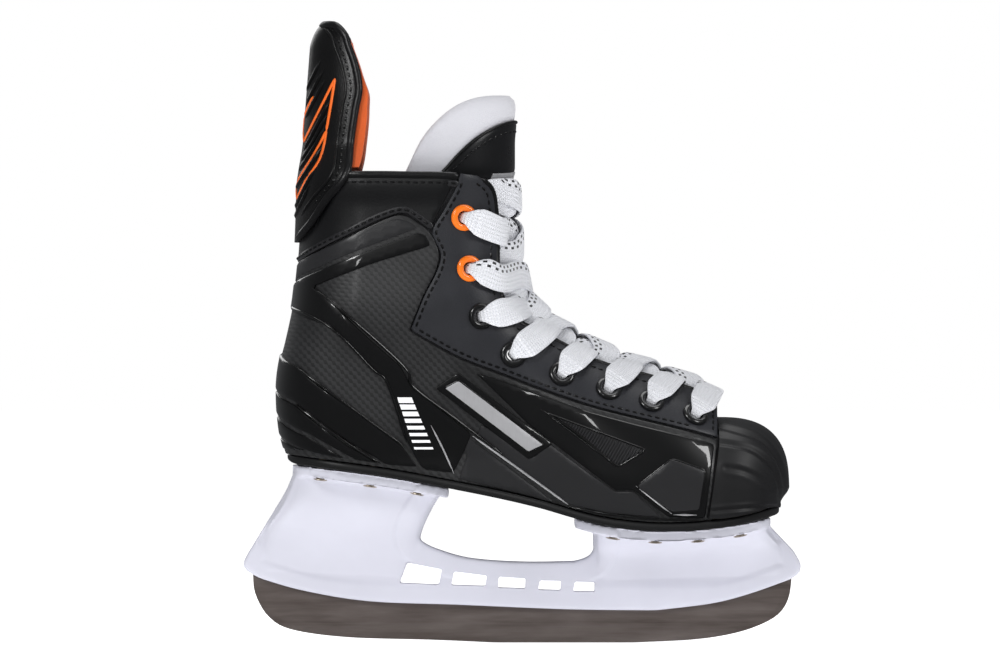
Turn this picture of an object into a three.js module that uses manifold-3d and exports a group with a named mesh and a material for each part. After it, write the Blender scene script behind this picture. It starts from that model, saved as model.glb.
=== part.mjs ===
// A right hockey skate: a laced boot riveted to a moulded blade holder with a bolted steel runner.
// Units are millimetres. +X points to the toe, +Y to the inner side of the foot, +Z up.
// The origin is on the ice, under the flat middle of the runner.
import * as THREE from "three";
import Module from "manifold-3d";
import { mergeVertices } from "three/addons/utils/BufferGeometryUtils.js";

const wasm = await Module();
wasm.setup();

// ---- Driving dimensions ----

const HEEL_X = -105; // back of the boot in the straightened side view
const GAP = 0.4; // clearance between neighbouring pieces
const SEAM = 0.25; // half of the gap between left and right pieces at the back seam
const TOE_SHIFT = 3.5; // how far the toe curves to the inner side

const OUTER_SKIN = [0, 1.3]; // depth range of the outer panels below the boot's outer surface
const QUARTER_LAYER = [2.1, 3.5];
const PADDING_LAYER = [4.4, 8.4];
const BADGE_LAYER = [-1.3, -0.4];

const OUTSOLE_THICKNESS = 3.6;
const BOARD_THICKNESS = 1.6;
const FOOTBED_THICKNESS = 3;
const BOARD_RISE = OUTSOLE_THICKNESS + GAP; // from the sole line up to the insole board
const FOOTBED_RISE = BOARD_RISE + BOARD_THICKNESS + 1.4; // leaves room for the rivet ends
const SOLE_ENDS = { heel: -105.5, toe: 117 };
const BOARD_INSET = 6.3; // from the outsole's rim
const FOOTBED_INSET = 7.2;

const HEEL_RADIUS = 30;
const ANKLE_FRONT_RADIUS = 30;
const INSTEP_RADIUS = 42;
const FRAME_FRONT_TOP = [86.9, 91.5]; // upper front corner of the side frame in the side view
const FRAME_FRONT_FOOT_X = 82.2;

const TOE_CENTRE = [88.7, 70]; // x and z of the centre that the toe cap's dome swells from
const TOE_RADII = [31.5, 44.5, 31.4];
const TOE_POWER = 2.65;
const TOE_PLAN_POWER = 2.3;
const TOE_WALL = 2.2;

const EYELET_POINTS = [
  [-25.9, 190.5], [-23.4, 167.9], [-18.1, 146.6], [-4, 129.6],
  [17.7, 121.0], [38.4, 114.4], [57.5, 108.9], [77.1, 102.9],
];
const EYELET = { hole: 2.7, barrel: 3.3, flange: 5.8, rise: 1.1, reach: 4.6, bore: 3.7 };

const FLANGE_THICKNESS = 4.4;
const TOWER_WALL = 3.2;
const WEB_THICKNESS = 9.4;
const RIVET_ROWS = [
  { name: "heel", places: [[-89.6, 18.5], [-67.2, 20.5], [-46, 20.5]] },
  { name: "fore", places: [[41.3, 26], [59.5, 28], [78, 28.5], [96.5, 25]] },
];
const RIVET = { head: 3.7, shank: 1.9, bore: 2.3, cap: 2.9 };

const RUNNER_THICKNESS = 3;
const SLOT_WIDTH = 3.7;
const BLADE_BOLTS = [{ name: "rear", x: -72 }, { name: "front", x: 72 }];
const BOLT = { shank: 2.5, bore: 2.9, floor: 43.6, top: 49.8 };
const NUT = { flats: 8, height: 4.7, bore: 2.9 };
const LACE = { thickness: 1.2, width: 6.2, height: 1.9, crossing: 2.2 };

const GUARD_FOOT_Z = 213; // lower edge of the guard, just above the point where it flexes
const GUARD_WALL = 2;
const TONGUE_HINGE_Z = 203;

// ---- Curves in the side view ----

// A smooth function through points, from cubic pieces.
function profile(points) {
  const last = points.length - 1;
  const slope = (i) => {
    const a = points[Math.max(i - 1, 0)];
    const b = points[Math.min(i + 1, last)];
    return (b[1] - a[1]) / (b[0] - a[0]);
  };
  return (x) => {
    if (x <= points[0][0]) return points[0][1];
    if (x >= points[last][0]) return points[last][1];
    const i = points.findIndex((p) => p[0] > x) - 1;
    const [x0, y0] = points[i];
    const [x1, y1] = points[i + 1];
    const h = x1 - x0;
    const t = (x - x0) / h;
    const s = 1 - t;
    return y0 * s * s * (1 + 2 * t) + y1 * t * t * (3 - 2 * t)
      + h * (slope(i) * t * s * s - slope(i + 1) * t * t * s);
  };
}

// Underside of the outsole. The heel seat is straight, so that the foot has a flat rest there.
const soleLine = profile([
  [-106, 81], [-95, 79.7], [-58, 74.7], [-31, 69.6], [-10, 65.4], [8, 61.2],
  [24, 56.6], [38, 53.4], [55, 51.4], [70, 51.2], [84, 52.2], [98, 54.2], [112, 57.2],
]);
const backLine = profile([
  [80, -104.6], [92, -108.3], [104, -109.8], [116, -110], [126, -108.8], [136, -106.4],
  [150, -103.4], [165, -101.5], [180, -100.2], [200, -99.5], [225, -98.6], [250, -96.8], [271, -95.2],
]);
// Middle of the laced front, from above the tongue down to the toe.
const frontCurve = new THREE.SplineCurve([
  [-3, 262], [-3, 225], [-2.6, 200], [-1.8, 182], [0.6, 166], [6.5, 153], [16, 144.3],
  [28, 137.4], [42, 130.8], [58, 125], [74, 119.3], [88, 112.6], [104, 103],
].map(([x, z]) => new THREE.Vector2(x, z)));
const frontLine = frontCurve.getSpacedPoints(120);

function distanceToFront(x, z) {
  let best = Infinity;
  for (let i = 1; i < frontLine.length; i++) {
    const a = frontLine[i - 1];
    const b = frontLine[i];
    const dx = b.x - a.x;
    const dz = b.y - a.y;
    const t = THREE.MathUtils.clamp(((x - a.x) * dx + (z - a.y) * dz) / (dx * dx + dz * dz), 0, 1);
    best = Math.min(best, Math.hypot(x - a.x - t * dx, z - a.y - t * dz));
  }
  return best;
}

// ---- The boot's outer surface ----

const smooth = (x, a, b) => THREE.MathUtils.smoothstep(x, a, b);
const centreShift = (x) => TOE_SHIFT * smooth(x, -30, 110);

const footPlan = profile([
  [-110, 29.5], [-80, 30.5], [-45, 31], [-15, 34], [15, 39.5], [45, 44.5], [70, 46], [90, 44.8], [121, 42],
]);
const legPlan = profile([
  [84, 29.5], [105, 33], [130, 36.5], [150, 38.5], [170, 37.5], [190, 36.5], [212, 37],
]);

// How wide a rounded edge of radius 1 is at a distance t in from its rim.
function rounding(t, power) {
  if (t <= 0) return 0;
  return t >= 1 ? 1 : Math.pow(1 - Math.pow(1 - t, power), 1 / power);
}

// Half the boot's width at a point of the side view, on the layer that lies depth below its outer surface.
function halfWidth(x, z, depth) {
  const rise = z - soleLine(x) - OUTSOLE_THICKNESS;
  const foot = footPlan(x) * (0.94 + 0.06 * smooth(rise, 0, 20));
  const width = THREE.MathUtils.lerp(legPlan(z), foot, smooth(x, -40, 35)) - depth;
  const frontRadius = THREE.MathUtils.lerp(ANKLE_FRONT_RADIUS, INSTEP_RADIUS, smooth(x, 0, 60));
  const front = rounding((distanceToFront(x, z) - depth) / (frontRadius - depth), 2);
  const back = rounding((x - backLine(z) - depth) / (HEEL_RADIUS - depth), 2.15);
  return width * front * back;
}

// Moves a point drawn with a straight vertical heel at HEEL_X on to the curved back of the boot.
function fromBack(x, z) {
  const fade = THREE.MathUtils.clamp(1 - (x - HEEL_X) / 60, 0, 1);
  return x + (backLine(z) - HEEL_X) * fade;
}

// The point of a layer at a place in the side view. side is 1 on the inner side and -1 on the outer side.
function bootPoint(x, z, depth, side) {
  const fade = THREE.MathUtils.clamp(1 - (x - HEEL_X) / HEEL_RADIUS, 0, 1);
  const px = fromBack(x, z) + depth * fade;
  const y = Math.max(halfWidth(px, z, depth), SEAM);
  return new THREE.Vector3(px, centreShift(px) + side * y, z);
}

// ---- Solids from grids and booleans ----

const lerpPoint = (a, b, t) => a.map((value, i) => value + (b[i] - value) * t);

function geometryOf(points, triangles) {
  const geometry = new THREE.BufferGeometry().setFromPoints(points);
  geometry.setIndex(triangles.flat());
  return geometry;
}

function signedVolume(points, triangles) {
  const cross = new THREE.Vector3();
  return triangles.reduce(
    (sum, [a, b, c]) => sum + points[a].dot(cross.crossVectors(points[b], points[c])) / 6, 0);
}

// Closes the space between two grids of the same size and turns its faces outwards.
function shellBetween(outer, inner) {
  const rows = outer.length;
  const cols = outer[0].length;
  const points = [...outer.flat(), ...inner.flat()];
  const top = (i, j) => i * cols + j;
  const low = (i, j) => rows * cols + i * cols + j;
  const triangles = [];
  const quad = (a, b, c, d) => triangles.push([a, b, c], [a, c, d]);
  for (let i = 1; i < rows; i++) {
    for (let j = 1; j < cols; j++) {
      quad(top(i - 1, j - 1), top(i, j - 1), top(i, j), top(i - 1, j));
      quad(low(i - 1, j - 1), low(i - 1, j), low(i, j), low(i, j - 1));
    }
    quad(top(i - 1, 0), low(i - 1, 0), low(i, 0), top(i, 0));
    quad(top(i - 1, cols - 1), top(i, cols - 1), low(i, cols - 1), low(i - 1, cols - 1));
  }
  for (let j = 1; j < cols; j++) {
    quad(top(0, j - 1), top(0, j), low(0, j), low(0, j - 1));
    quad(top(rows - 1, j - 1), low(rows - 1, j - 1), low(rows - 1, j), top(rows - 1, j));
  }
  if (signedVolume(points, triangles) < 0) triangles.forEach((t) => t.reverse());
  return geometryOf(points, triangles);
}

// A closed solid through rings of points, with flat ends.
function loft(rings) {
  const count = rings[0].length;
  const points = rings.flat();
  const triangles = [];
  for (let i = 1; i < rings.length; i++) {
    for (let j = 0; j < count; j++) {
      const k = (j + 1) % count;
      const [a, b] = [(i - 1) * count + j, (i - 1) * count + k];
      const [c, d] = [i * count + k, i * count + j];
      triangles.push([a, b, c], [a, c, d]);
    }
  }
  const end = (rings.length - 1) * count;
  for (let j = 1; j < count - 1; j++) {
    triangles.push([0, j + 1, j], [end, end + j, end + j + 1]);
  }
  if (signedVolume(points, triangles) < 0) triangles.forEach((t) => t.reverse());
  return geometryOf(points, triangles);
}

function solidOf(geometry) {
  const bare = geometry.clone();
  bare.deleteAttribute("normal");
  bare.deleteAttribute("uv");
  const merged = mergeVertices(bare, 1e-4);
  const vertProperties = new Float32Array(merged.attributes.position.array);
  const triVerts = new Uint32Array(merged.index.array);
  return new wasm.Manifold(new wasm.Mesh({ numProp: 3, vertProperties, triVerts }));
}

function geometryFromSolid(solid) {
  const mesh = solid.getMesh();
  const geometry = new THREE.BufferGeometry();
  geometry.setAttribute("position", new THREE.BufferAttribute(new Float32Array(mesh.vertProperties), 3));
  geometry.setIndex(new THREE.BufferAttribute(new Uint32Array(mesh.triVerts), 1));
  return geometry;
}

const cut = (geometry, tools) =>
  geometryFromSolid(tools.reduce((solid, tool) => solid.subtract(solidOf(tool)), solidOf(geometry)));
const joined = (parts) =>
  geometryFromSolid(parts.slice(1).reduce((solid, part) => solid.add(solidOf(part)), solidOf(parts[0])));

// A lathe solid from (radius, height) pairs, standing on an origin along a direction.
function turned(pairs, segments, origin, direction) {
  const geometry = new THREE.LatheGeometry(pairs.map(([r, h]) => new THREE.Vector2(r, h)), segments);
  const turn = new THREE.Quaternion().setFromUnitVectors(new THREE.Vector3(0, 1, 0), direction);
  return geometry.applyQuaternion(turn).translate(origin.x, origin.y, origin.z);
}

const cylinder = (radius, from, to, segments, origin, direction) =>
  turned([[0, from], [radius, from], [radius, to], [0, to]], segments, origin, direction);

// A flat plate drawn in the side view, of a thickness centred on the skate's middle plane.
function sidePlate(shape, thickness) {
  const geometry = new THREE.ExtrudeGeometry(shape, { depth: thickness, bevelEnabled: false, curveSegments: 3 });
  return geometry.translate(0, 0, -thickness / 2).rotateX(Math.PI / 2);
}

const vectors = (pairs) => pairs.map(([x, z]) => new THREE.Vector2(x, z));

// ---- Materials and the assembly ----

const material = (color, roughness, metalness = 0) =>
  new THREE.MeshStandardMaterial({ color, roughness, metalness });
const MATERIALS = {
  steel: material(0x8d837d, 0.35, 1),
  holder: material(0xe9e9f2, 0.35),
  fastener: material(0xb9a78c, 0.3, 1),
  sole: material(0x18181a, 0.55),
  board: material(0x6b5a48, 0.8),
  footbed: material(0x242427, 0.9),
  toe: material(0x1b1b1e, 0.45),
  quarter: material(0x1f2023, 0.4),
  frame: material(0x101012, 0.2),
  leather: material(0x222226, 0.5),
  lining: material(0xe8622a, 0.9),
  padding: material(0x2a2a2d, 0.9),
  felt: material(0xe6e6ec, 0.95),
  badge: material(0xc9c9cd, 0.3, 0.9),
  orangeEyelet: material(0xf47a1c, 0.35),
  blackEyelet: material(0x0c0c0e, 0.2),
  lace: material(0xf1f1f6, 0.9),
};

const skate = new THREE.Group();

function add(name, geometry, finish) {
  const mesh = new THREE.Mesh(geometry, finish);
  mesh.name = name;
  skate.add(mesh);
}

const SIDES = [{ name: "outer", sign: -1 }, { name: "inner", sign: 1 }];

// ---- Eyelet placing ----

function surfaceNormal([x, z], side) {
  const step = 2;
  const at = (a, b) => bootPoint(a, b, 0, side);
  const along = at(x + step, z).sub(at(x - step, z));
  const up = at(x, z + step).sub(at(x, z - step));
  return along.cross(up).normalize().multiplyScalar(-side);
}

const eyelets = SIDES.flatMap((side) => EYELET_POINTS.map((point, i) => ({
  name: `eyelet_${side.name}_${i + 1}`,
  side: side.sign,
  number: i + 1,
  origin: bootPoint(point[0], point[1], 0, side.sign),
  axis: surfaceNormal(point, side.sign),
})));

// A round cut at each eyelet of one side, from a depth out to the open air.
const eyeletCuts = (side, radius, depth) => eyelets.filter((e) => e.side === side)
  .map((e) => cylinder(radius, -depth, 3, 9, e.origin, e.axis));

// ---- Side panels ----

// Stations run from the heel to the toe. Each pairs a point on the panel's lower edge with one on its
// upper edge, in the side view.
function panel(stations, side, [outerDepth, innerDepth], rows) {
  const grid = (depth) => stations.map(([low, high]) =>
    Array.from({ length: rows + 1 }, (_, j) => {
      const [x, z] = lerpPoint(low, high, 1 - Math.pow(1 - j / rows, 1.3));
      return bootPoint(x, z, depth, side);
    }));
  return shellBetween(grid(outerDepth), grid(innerDepth));
}

// A panel that runs round the heel from one side to the other. Its first station is at the back.
function wrapPanel(stations, [outerDepth, innerDepth], rows) {
  const grid = (depth) => {
    const half = (side) => stations.map(([low, high]) => Array.from({ length: rows + 1 }, (_, j) =>
      bootPoint(...lerpPoint(low, high, j / rows), depth, side)));
    const [middle, ...inner] = half(1);
    const [, ...outer] = half(-1);
    middle.forEach((p) => (p.y = 0));
    return [...outer.reverse(), middle, ...inner];
  };
  return shellBetween(grid(outerDepth), grid(innerDepth));
}

const onSole = (x, rise) => [x, soleLine(fromBack(x, 85)) + rise];
const FEATHER = OUTSOLE_THICKNESS + GAP; // where the upper meets the outsole
const QUARTER_LIFT = 0.6; // the quarter stops this far above the outer panels' lower edge

const eyestayStations = [
  [[-27.5, 210.2], [-19.8, 209.3]], [[-29.6, 203.4], [-13.5, 203.4]], [[-35, 193.5], [-11.3, 193]],
  [[-40, 184], [-10.8, 182.7]], [[-36.3, 174.6], [-10.8, 172.8]], [[-38, 166.5], [-10.8, 163.8]],
  [[-43.5, 155.7], [-8.1, 153.9]], [[-49.5, 140.8], [-3.2, 145.8]], [[-41.2, 135.9], [5, 141.3]],
  [[-26.6, 128.2], [13, 137.3]], [[-7.7, 121], [22.5, 132.3]], [[8.6, 114.8], [31, 127.8]],
  [[29.3, 107.7], [43.2, 123.8]], [[50, 102.3], [59.9, 119.5]], [[70.2, 97.4], [75.3, 114.7]],
  [[86.9, 92.9], [87.3, 108.9]],
];
const collarStations = [
  [[HEEL_X, 170.8], [HEEL_X, 211]], [[-103.2, 171.9], [-103.2, 211]], [[-98, 174.7], [-98, 211]],
  [[-90, 178.6], [-90, 211]], [[-78, 183.9], [-77, 211.2]], [[-65.3, 189.5], [-62, 211.2]],
  [[-54, 192.6], [-50, 211]], [[-47, 189.3], [-38.5, 210.9]], [[-41, 184.9], [-28.3, 210.4]],
];
const frameTop = [
  [HEEL_X, 170], [-103.2, 171.1], [-98, 173.9], [-90, 177.8], [-78, 183], [-66, 188.4], [-55, 191.7],
  [-47, 188.3], [-40.8, 183.4], [-37.1, 174.6], [-38.8, 166.2], [-44.3, 155.2], [-50.3, 140.4],
  [-41.5, 134.9], [-26.9, 127.2], [-8, 120], [8.3, 113.8], [29, 106.7], [49.8, 101.3], [70, 96.4],
  FRAME_FRONT_TOP,
];
const frameFeet = [
  HEEL_X, -103.2, -98, -90, -80, -72, -65, -59, -53, -47, -41, -34, -27, -19, -9, 3, 16, 32, 50, 67,
  FRAME_FRONT_FOOT_X,
];
const frameStations = frameTop.map((high, i) => [onSole(frameFeet[i], FEATHER), high]);
const quarterTop = [
  [HEEL_X, 209.5], [-103.2, 209.5], [-98, 209.5], [-90, 209.5], [-78, 209.5], [-58, 209.5], [-40, 209.3],
  [-23, 207.3], [-15.5, 200], [-13, 187], [-12.8, 172], [-12, 160], [-7, 148.5], [4, 139.6],
  [17, 133.2], [31, 125.8], [46, 120.6], [62, 115.6], [85.8, 105.6],
];
const quarterFeet = [
  HEEL_X, -103.2, -98, -90, -78, -64, -50, -38, -28, -18, -8, 2, 12, 22, 33, 45, 57, 70, 81.6,
];
const quarterStations = quarterTop.map((high, i) => [onSole(quarterFeet[i], FEATHER + QUARTER_LIFT), high]);
const paddingStations = [
  [[HEEL_X, 112], [HEEL_X, 211]], [[-103.2, 112], [-103.2, 211]], [[-98, 111.5], [-98, 211]],
  [[-90, 111], [-90, 211]], [[-78, 110], [-77, 211]], [[-62, 110], [-60, 210.8]], [[-48, 112], [-44, 210.2]],
];
const badgeCorners = [[[-35.5, 114.6], [-28.2, 118.8]], [[2.8, 85.5], [10.6, 89.2]]];
const badgeStations = Array.from({ length: 6 }, (_, i) =>
  [0, 1].map((edge) => lerpPoint(badgeCorners[0][edge], badgeCorners[1][edge], i / 5)));

SIDES.forEach(({ name, sign }) => {
  const bores = eyeletCuts(sign, EYELET.bore, 9);
  const seats = eyeletCuts(sign, EYELET.flange + 0.5, 0.35); // shallow round seats under the eyelets' flanges
  add(`side_frame_${name}`, panel(frameStations, sign, OUTER_SKIN, 5), MATERIALS.frame);
  add(`collar_${name}`, panel(collarStations, sign, OUTER_SKIN, 3), MATERIALS.leather);
  add(`eyestay_${name}`, cut(panel(eyestayStations, sign, OUTER_SKIN, 4), [...bores, ...seats]), MATERIALS.leather);
  add(`quarter_${name}`, cut(panel(quarterStations, sign, QUARTER_LAYER, 6), bores), MATERIALS.quarter);
  add(`badge_${name}`, panel(badgeStations, sign, BADGE_LAYER, 2), MATERIALS.badge);
});

add("ankle_padding", wrapPanel(paddingStations, PADDING_LAYER, 5), MATERIALS.padding);

// ---- Eyelets ----

const eyeletProfile = [
  [EYELET.hole, -EYELET.reach], [EYELET.barrel, -EYELET.reach], [EYELET.barrel, -0.1],
  [EYELET.flange, -0.1], [EYELET.flange - 0.7, EYELET.rise], [EYELET.hole + 0.3, EYELET.rise - 0.2],
  [EYELET.hole, -EYELET.reach],
];
eyelets.forEach((e) => {
  const finish = e.number <= 2 ? MATERIALS.orangeEyelet : MATERIALS.blackEyelet;
  add(e.name, turned(eyeletProfile, 9, e.origin, e.axis), finish);
});

// ---- Toe cap ----

const toeRear = (z) => FRAME_FRONT_FOOT_X + GAP + (z - 54.5) * 0.145;
const cornered = (value, power) => Math.sign(value) * Math.pow(Math.abs(value), 2 / power);

function toePoint(plan, height, wall) {
  const [rx, ry, rz] = TOE_RADII.map((radius) => radius - wall);
  const up = Math.max(height, 0);
  const spread = cornered(Math.cos(up), TOE_POWER);
  const x = TOE_CENTRE[0] + rx * spread * cornered(Math.cos(plan), TOE_PLAN_POWER);
  const y = ry * spread * cornered(Math.sin(plan), TOE_PLAN_POWER);
  return new THREE.Vector3(x, centreShift(x) + y, TOE_CENTRE[1] + rz * cornered(Math.sin(up), TOE_POWER));
}

function toeGrid(wall) {
  const heights = [-1, 0, 15, 30, 48, 70, 88].map(THREE.MathUtils.degToRad);
  const plans = [-90, -70, -50, -25, 0, 25, 50, 70, 90].map(THREE.MathUtils.degToRad);
  return heights.map((height) => {
    const row = plans.map((plan) => toePoint(plan, height, wall));
    if (height < 0) {
      row.forEach((p) => {
        p.z = soleLine(p.x) + FEATHER;
        const tuck = 1 - 0.03 * smooth(p.x, 80, 120);
        p.x = TOE_CENTRE[0] + (p.x - TOE_CENTRE[0]) * (1 - 0.14 * smooth(p.x, 95, 121));
        p.y = centreShift(p.x) + (p.y - centreShift(p.x)) * tuck;
      });
    }
    const rear = (p) => new THREE.Vector3(Math.min(toeRear(p.z), p.x - 1), p.y, p.z);
    return [rear(row[0]), ...row, rear(row[row.length - 1])];
  });
}
add("toe_cap", shellBetween(toeGrid(0), toeGrid(TOE_WALL)), MATERIALS.toe);

// ---- Vamp ----

// A leather wall that closes the gap between the toe cap and the foot of the tongue.
const VAMP = { x: 84.9, thickness: 1.3, levels: [95, 99, 102.5, 105.5, 107.6] };
const vampRings = VAMP.levels.map((z) => {
  const half = halfWidth(VAMP.x, z, 4.4);
  return [[0, -half], [0, half], [VAMP.thickness, half], [VAMP.thickness, -half]].map(([dx, y]) =>
    new THREE.Vector3(VAMP.x + dx, centreShift(VAMP.x) + y, z));
});
add("vamp", loft(vampRings), MATERIALS.leather);

// ---- Sole pieces ----

// Half the outsole's width at x, inset from the rim, with a round heel and toe.
function soleHalfWidth(x, inset) {
  const heel = rounding((x - SOLE_ENDS.heel - inset) / (HEEL_RADIUS - inset), 2.15);
  const toe = rounding((SOLE_ENDS.toe - inset - x) / (36 - inset), 2.3);
  return (footPlan(x) * 0.95 - inset) * heel * toe;
}

function solePlate(inset, rise, thickness) {
  const heelStations = [0.6, 3, 8, 16];
  const toeStations = [15, 7, 2.6, 0.5];
  const stations = [
    ...heelStations.map((d) => SOLE_ENDS.heel + inset + d), -75, -58, -40, -20, 0, 18, 36, 55, 72, 88,
    ...toeStations.map((d) => SOLE_ENDS.toe - inset - d),
  ];
  return loft(stations.map((x) => {
    const half = soleHalfWidth(x, inset);
    const low = soleLine(x) + rise;
    const mid = centreShift(x);
    return [[-half, low], [half, low], [half, low + thickness], [-half, low + thickness]]
      .map(([y, z]) => new THREE.Vector3(x, mid + y, z));
  }));
}

const rivets = RIVET_ROWS.flatMap((row) => row.places.flatMap(([x, y], i) => SIDES.map((side) => {
  const slope = (soleLine(x + 2) - soleLine(x - 2)) / 4;
  return {
    name: `rivet_${row.name}_${side.name}_${i + 1}`,
    origin: new THREE.Vector3(x, centreShift(x) + side.sign * y, soleLine(x)),
    axis: new THREE.Vector3(-slope, 0, 1).normalize(),
  };
})));
const rivetTools = rivets.map((r) => cylinder(RIVET.bore, -7, 9, 8, r.origin, r.axis));

add("outsole", cut(solePlate(0, 0, OUTSOLE_THICKNESS), rivetTools), MATERIALS.sole);
add("insole_board", cut(solePlate(BOARD_INSET, BOARD_RISE, BOARD_THICKNESS), rivetTools), MATERIALS.board);
add("footbed", solePlate(FOOTBED_INSET, FOOTBED_RISE, FOOTBED_THICKNESS), MATERIALS.footbed);

const rivetFoot = -(FLANGE_THICKNESS + 2 * GAP);
const rivetTop = BOARD_RISE + BOARD_THICKNESS + 0.3;
const rivetProfile = [
  [0, rivetFoot - 1.3], [2.4, rivetFoot - 1.1], [RIVET.head, rivetFoot], [RIVET.shank, rivetFoot],
  [RIVET.shank, rivetTop], [RIVET.cap, rivetTop], [RIVET.cap - 0.6, rivetTop + 0.6], [0, rivetTop + 0.6],
];
rivets.forEach((r) => add(r.name, turned(rivetProfile, 8, r.origin, r.axis), MATERIALS.fastener));

// ---- Blade holder ----

// Side outline of the holder's web: two towers joined by a beam, with the foot window open at its top.
function webShape() {
  const shape = new THREE.Shape();
  shape.moveTo(-103.2, 74);
  shape.lineTo(-107.6, 65.8);
  shape.lineTo(-123.4, 40);
  shape.splineThru(vectors([[-125.4, 35.6], [-124, 32.6], [-118, 29]]));
  shape.splineThru(vectors([[-98.4, 23.4], [-68.7, 18.6], [-27.9, 17], [20, 15], [60, 14.5]]));
  shape.splineThru(vectors([[85.2, 17.6], [102.4, 22], [122, 29]]));
  shape.splineThru(vectors([[125.3, 32.6], [125, 36.2], [122, 41.5]]));
  shape.lineTo(111, 53);
  shape.lineTo(31.6, 49);
  shape.splineThru(vectors([[32.9, 45.5], [30.6, 39.4], [24, 36.7]]));
  shape.splineThru(vectors([[0, 36.4], [-24, 38.2], [-40, 42.8]]));
  shape.splineThru(vectors([[-46, 46.6], [-45.8, 52.6], [-38.5, 64]]));
  shape.closePath();
  const windows = [
    [[-51.5, 36], [-36, 33], [-37.4, 26], [-55, 26.8]],
    [[-30.5, 32], [-15.8, 30.2], [-16.5, 25.4], [-31.8, 25.9]],
    [[-10.4, 29.7], [1.6, 28.9], [1.4, 24.3], [-10.9, 24.7]],
    [[8, 28], [17.5, 27.8], [17.3, 23.5], [7.2, 23.8]],
    [[23.7, 27.5], [32.6, 27.2], [32.6, 22.9], [23, 23]],
  ];
  windows.forEach((corners) => shape.holes.push(new THREE.Path().setFromPoints(vectors(corners))));
  return shape;
}

// A tower that widens from the web up to its flange. Rings run upwards; ends are its rear and front edges.
function tower(levels) {
  return loft(levels.map(({ rear, front, half, round, lean }) => {
    const at = (t, y) => {
      const [x, z] = lerpPoint(rear, front, t);
      return new THREE.Vector3(x, lean * centreShift(x) + y, z);
    };
    const turnIn = round / Math.hypot(front[0] - rear[0], front[1] - rear[1]);
    const edge = [[0, 0.45], [turnIn * 0.4, 0.85], [turnIn, 1], [1 - turnIn, 1], [1 - turnIn * 0.4, 0.85], [1, 0.45]];
    return [
      ...edge.map(([t, share]) => at(t, -half * share)),
      ...edge.reverse().map(([t, share]) => at(t, half * share)),
    ];
  }));
}

const onFlange = (x, drop = FLANGE_THICKNESS) => [x, soleLine(x) - GAP - drop];
const heelTower = (grow) => [
  { rear: [-121 - grow, 33], front: [-48 + grow, 30], half: 4.9 + grow, round: 8, lean: 0 },
  { rear: [-116.5 - grow, 50], front: [-45.5 + grow, 48], half: 7.5 + grow, round: 9, lean: 0.3 },
  { rear: [-108.5 - grow, 63], front: [-41 + grow, 59], half: 12.5 + grow, round: 11, lean: 0.7 },
  { rear: onFlange(-103 - grow), front: onFlange(-37 + grow), half: 15 + grow, round: 16, lean: 1 },
];
const foreTower = (grow) => [
  { rear: [31 - grow, 28], front: [121.5 + grow, 31], half: 4.9 + grow, round: 8, lean: 0 },
  { rear: [32.5 - grow, 38], front: [120 + grow, 42], half: 8.5 + grow, round: 9, lean: 0.3 },
  { rear: [32 - grow, 44], front: [114.5 + grow, 49], half: 15 + grow, round: 11, lean: 0.7 },
  { rear: onFlange(32 - grow), front: onFlange(110.5 + grow), half: 20.5 + grow, round: 13, lean: 1 },
];

// A plate under the sole, between two places, with rounded ends.
function flange(from, to, half, steps) {
  const stations = [0, 0.05, 0.15, ...Array.from({ length: steps }, (_, i) => 0.25 + (0.5 * i) / (steps - 1)), 0.85, 0.95, 1];
  return loft(stations.map((t) => {
    const x = THREE.MathUtils.lerp(from, to, t);
    const ends = Math.min(rounding((t + 0.05) / 0.3, 2.4), rounding((1.05 - t) / 0.3, 2.4));
    const y = Math.min(half * ends, soleHalfWidth(x, 3));
    const [, low] = onFlange(x);
    const [, high] = onFlange(x, 0);
    const mid = centreShift(x);
    return [[-y, low], [y, low], [y, high], [-y, high]].map(([dy, z]) => new THREE.Vector3(x, mid + dy, z));
  }));
}

// Pocket for one of the runner's two hooks.
const hookPocket = (x) => new THREE.Shape(vectors(
  [[x - 9.4, 15], [x + 9.4, 15], [x + 9.4, 38.5], [x - 9.4, 38.5]]));

function runnerSlot() {
  const groove = new THREE.Shape();
  groove.moveTo(-121.4, 10);
  groove.lineTo(-121.4, 33.6);
  groove.splineThru(vectors([[-98, 27.8], [-68, 23.2], [-28, 21.4], [20, 20], [60, 19.6]]));
  groove.splineThru(vectors([[85.2, 22.4], [102.4, 27], [121.9, 33.6]]));
  groove.lineTo(121.9, 10);
  groove.closePath();
  return [
    sidePlate(groove, SLOT_WIDTH),
    ...BLADE_BOLTS.map(({ x }) => sidePlate(hookPocket(x), SLOT_WIDTH)),
  ];
}

// The open inside of a tower, from the nut's seat up to the sole.
function towerHollow([, , , top], x) {
  return tower([
    { rear: [x - 16, BOLT.floor], front: [x + 16, BOLT.floor], half: 6, round: 5, lean: 0 },
    { rear: onFlange(top.rear[0], -4), front: onFlange(top.front[0], -4), half: top.half, round: 10, lean: 1 },
  ]);
}

// Everything above the holder's flanges, cut away so that the towers end level under the outsole.
function aboveFlanges() {
  const stations = [-130, -95, -58, -31, -10, 8, 24, 38, 55, 70, 84, 98, 130];
  return loft(stations.map((x) => {
    const low = onFlange(x, 0)[1];
    return [[-60, low], [60, low], [60, low + 50], [-60, low + 50]].map(([y, z]) => new THREE.Vector3(x, y, z));
  }));
}

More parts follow.
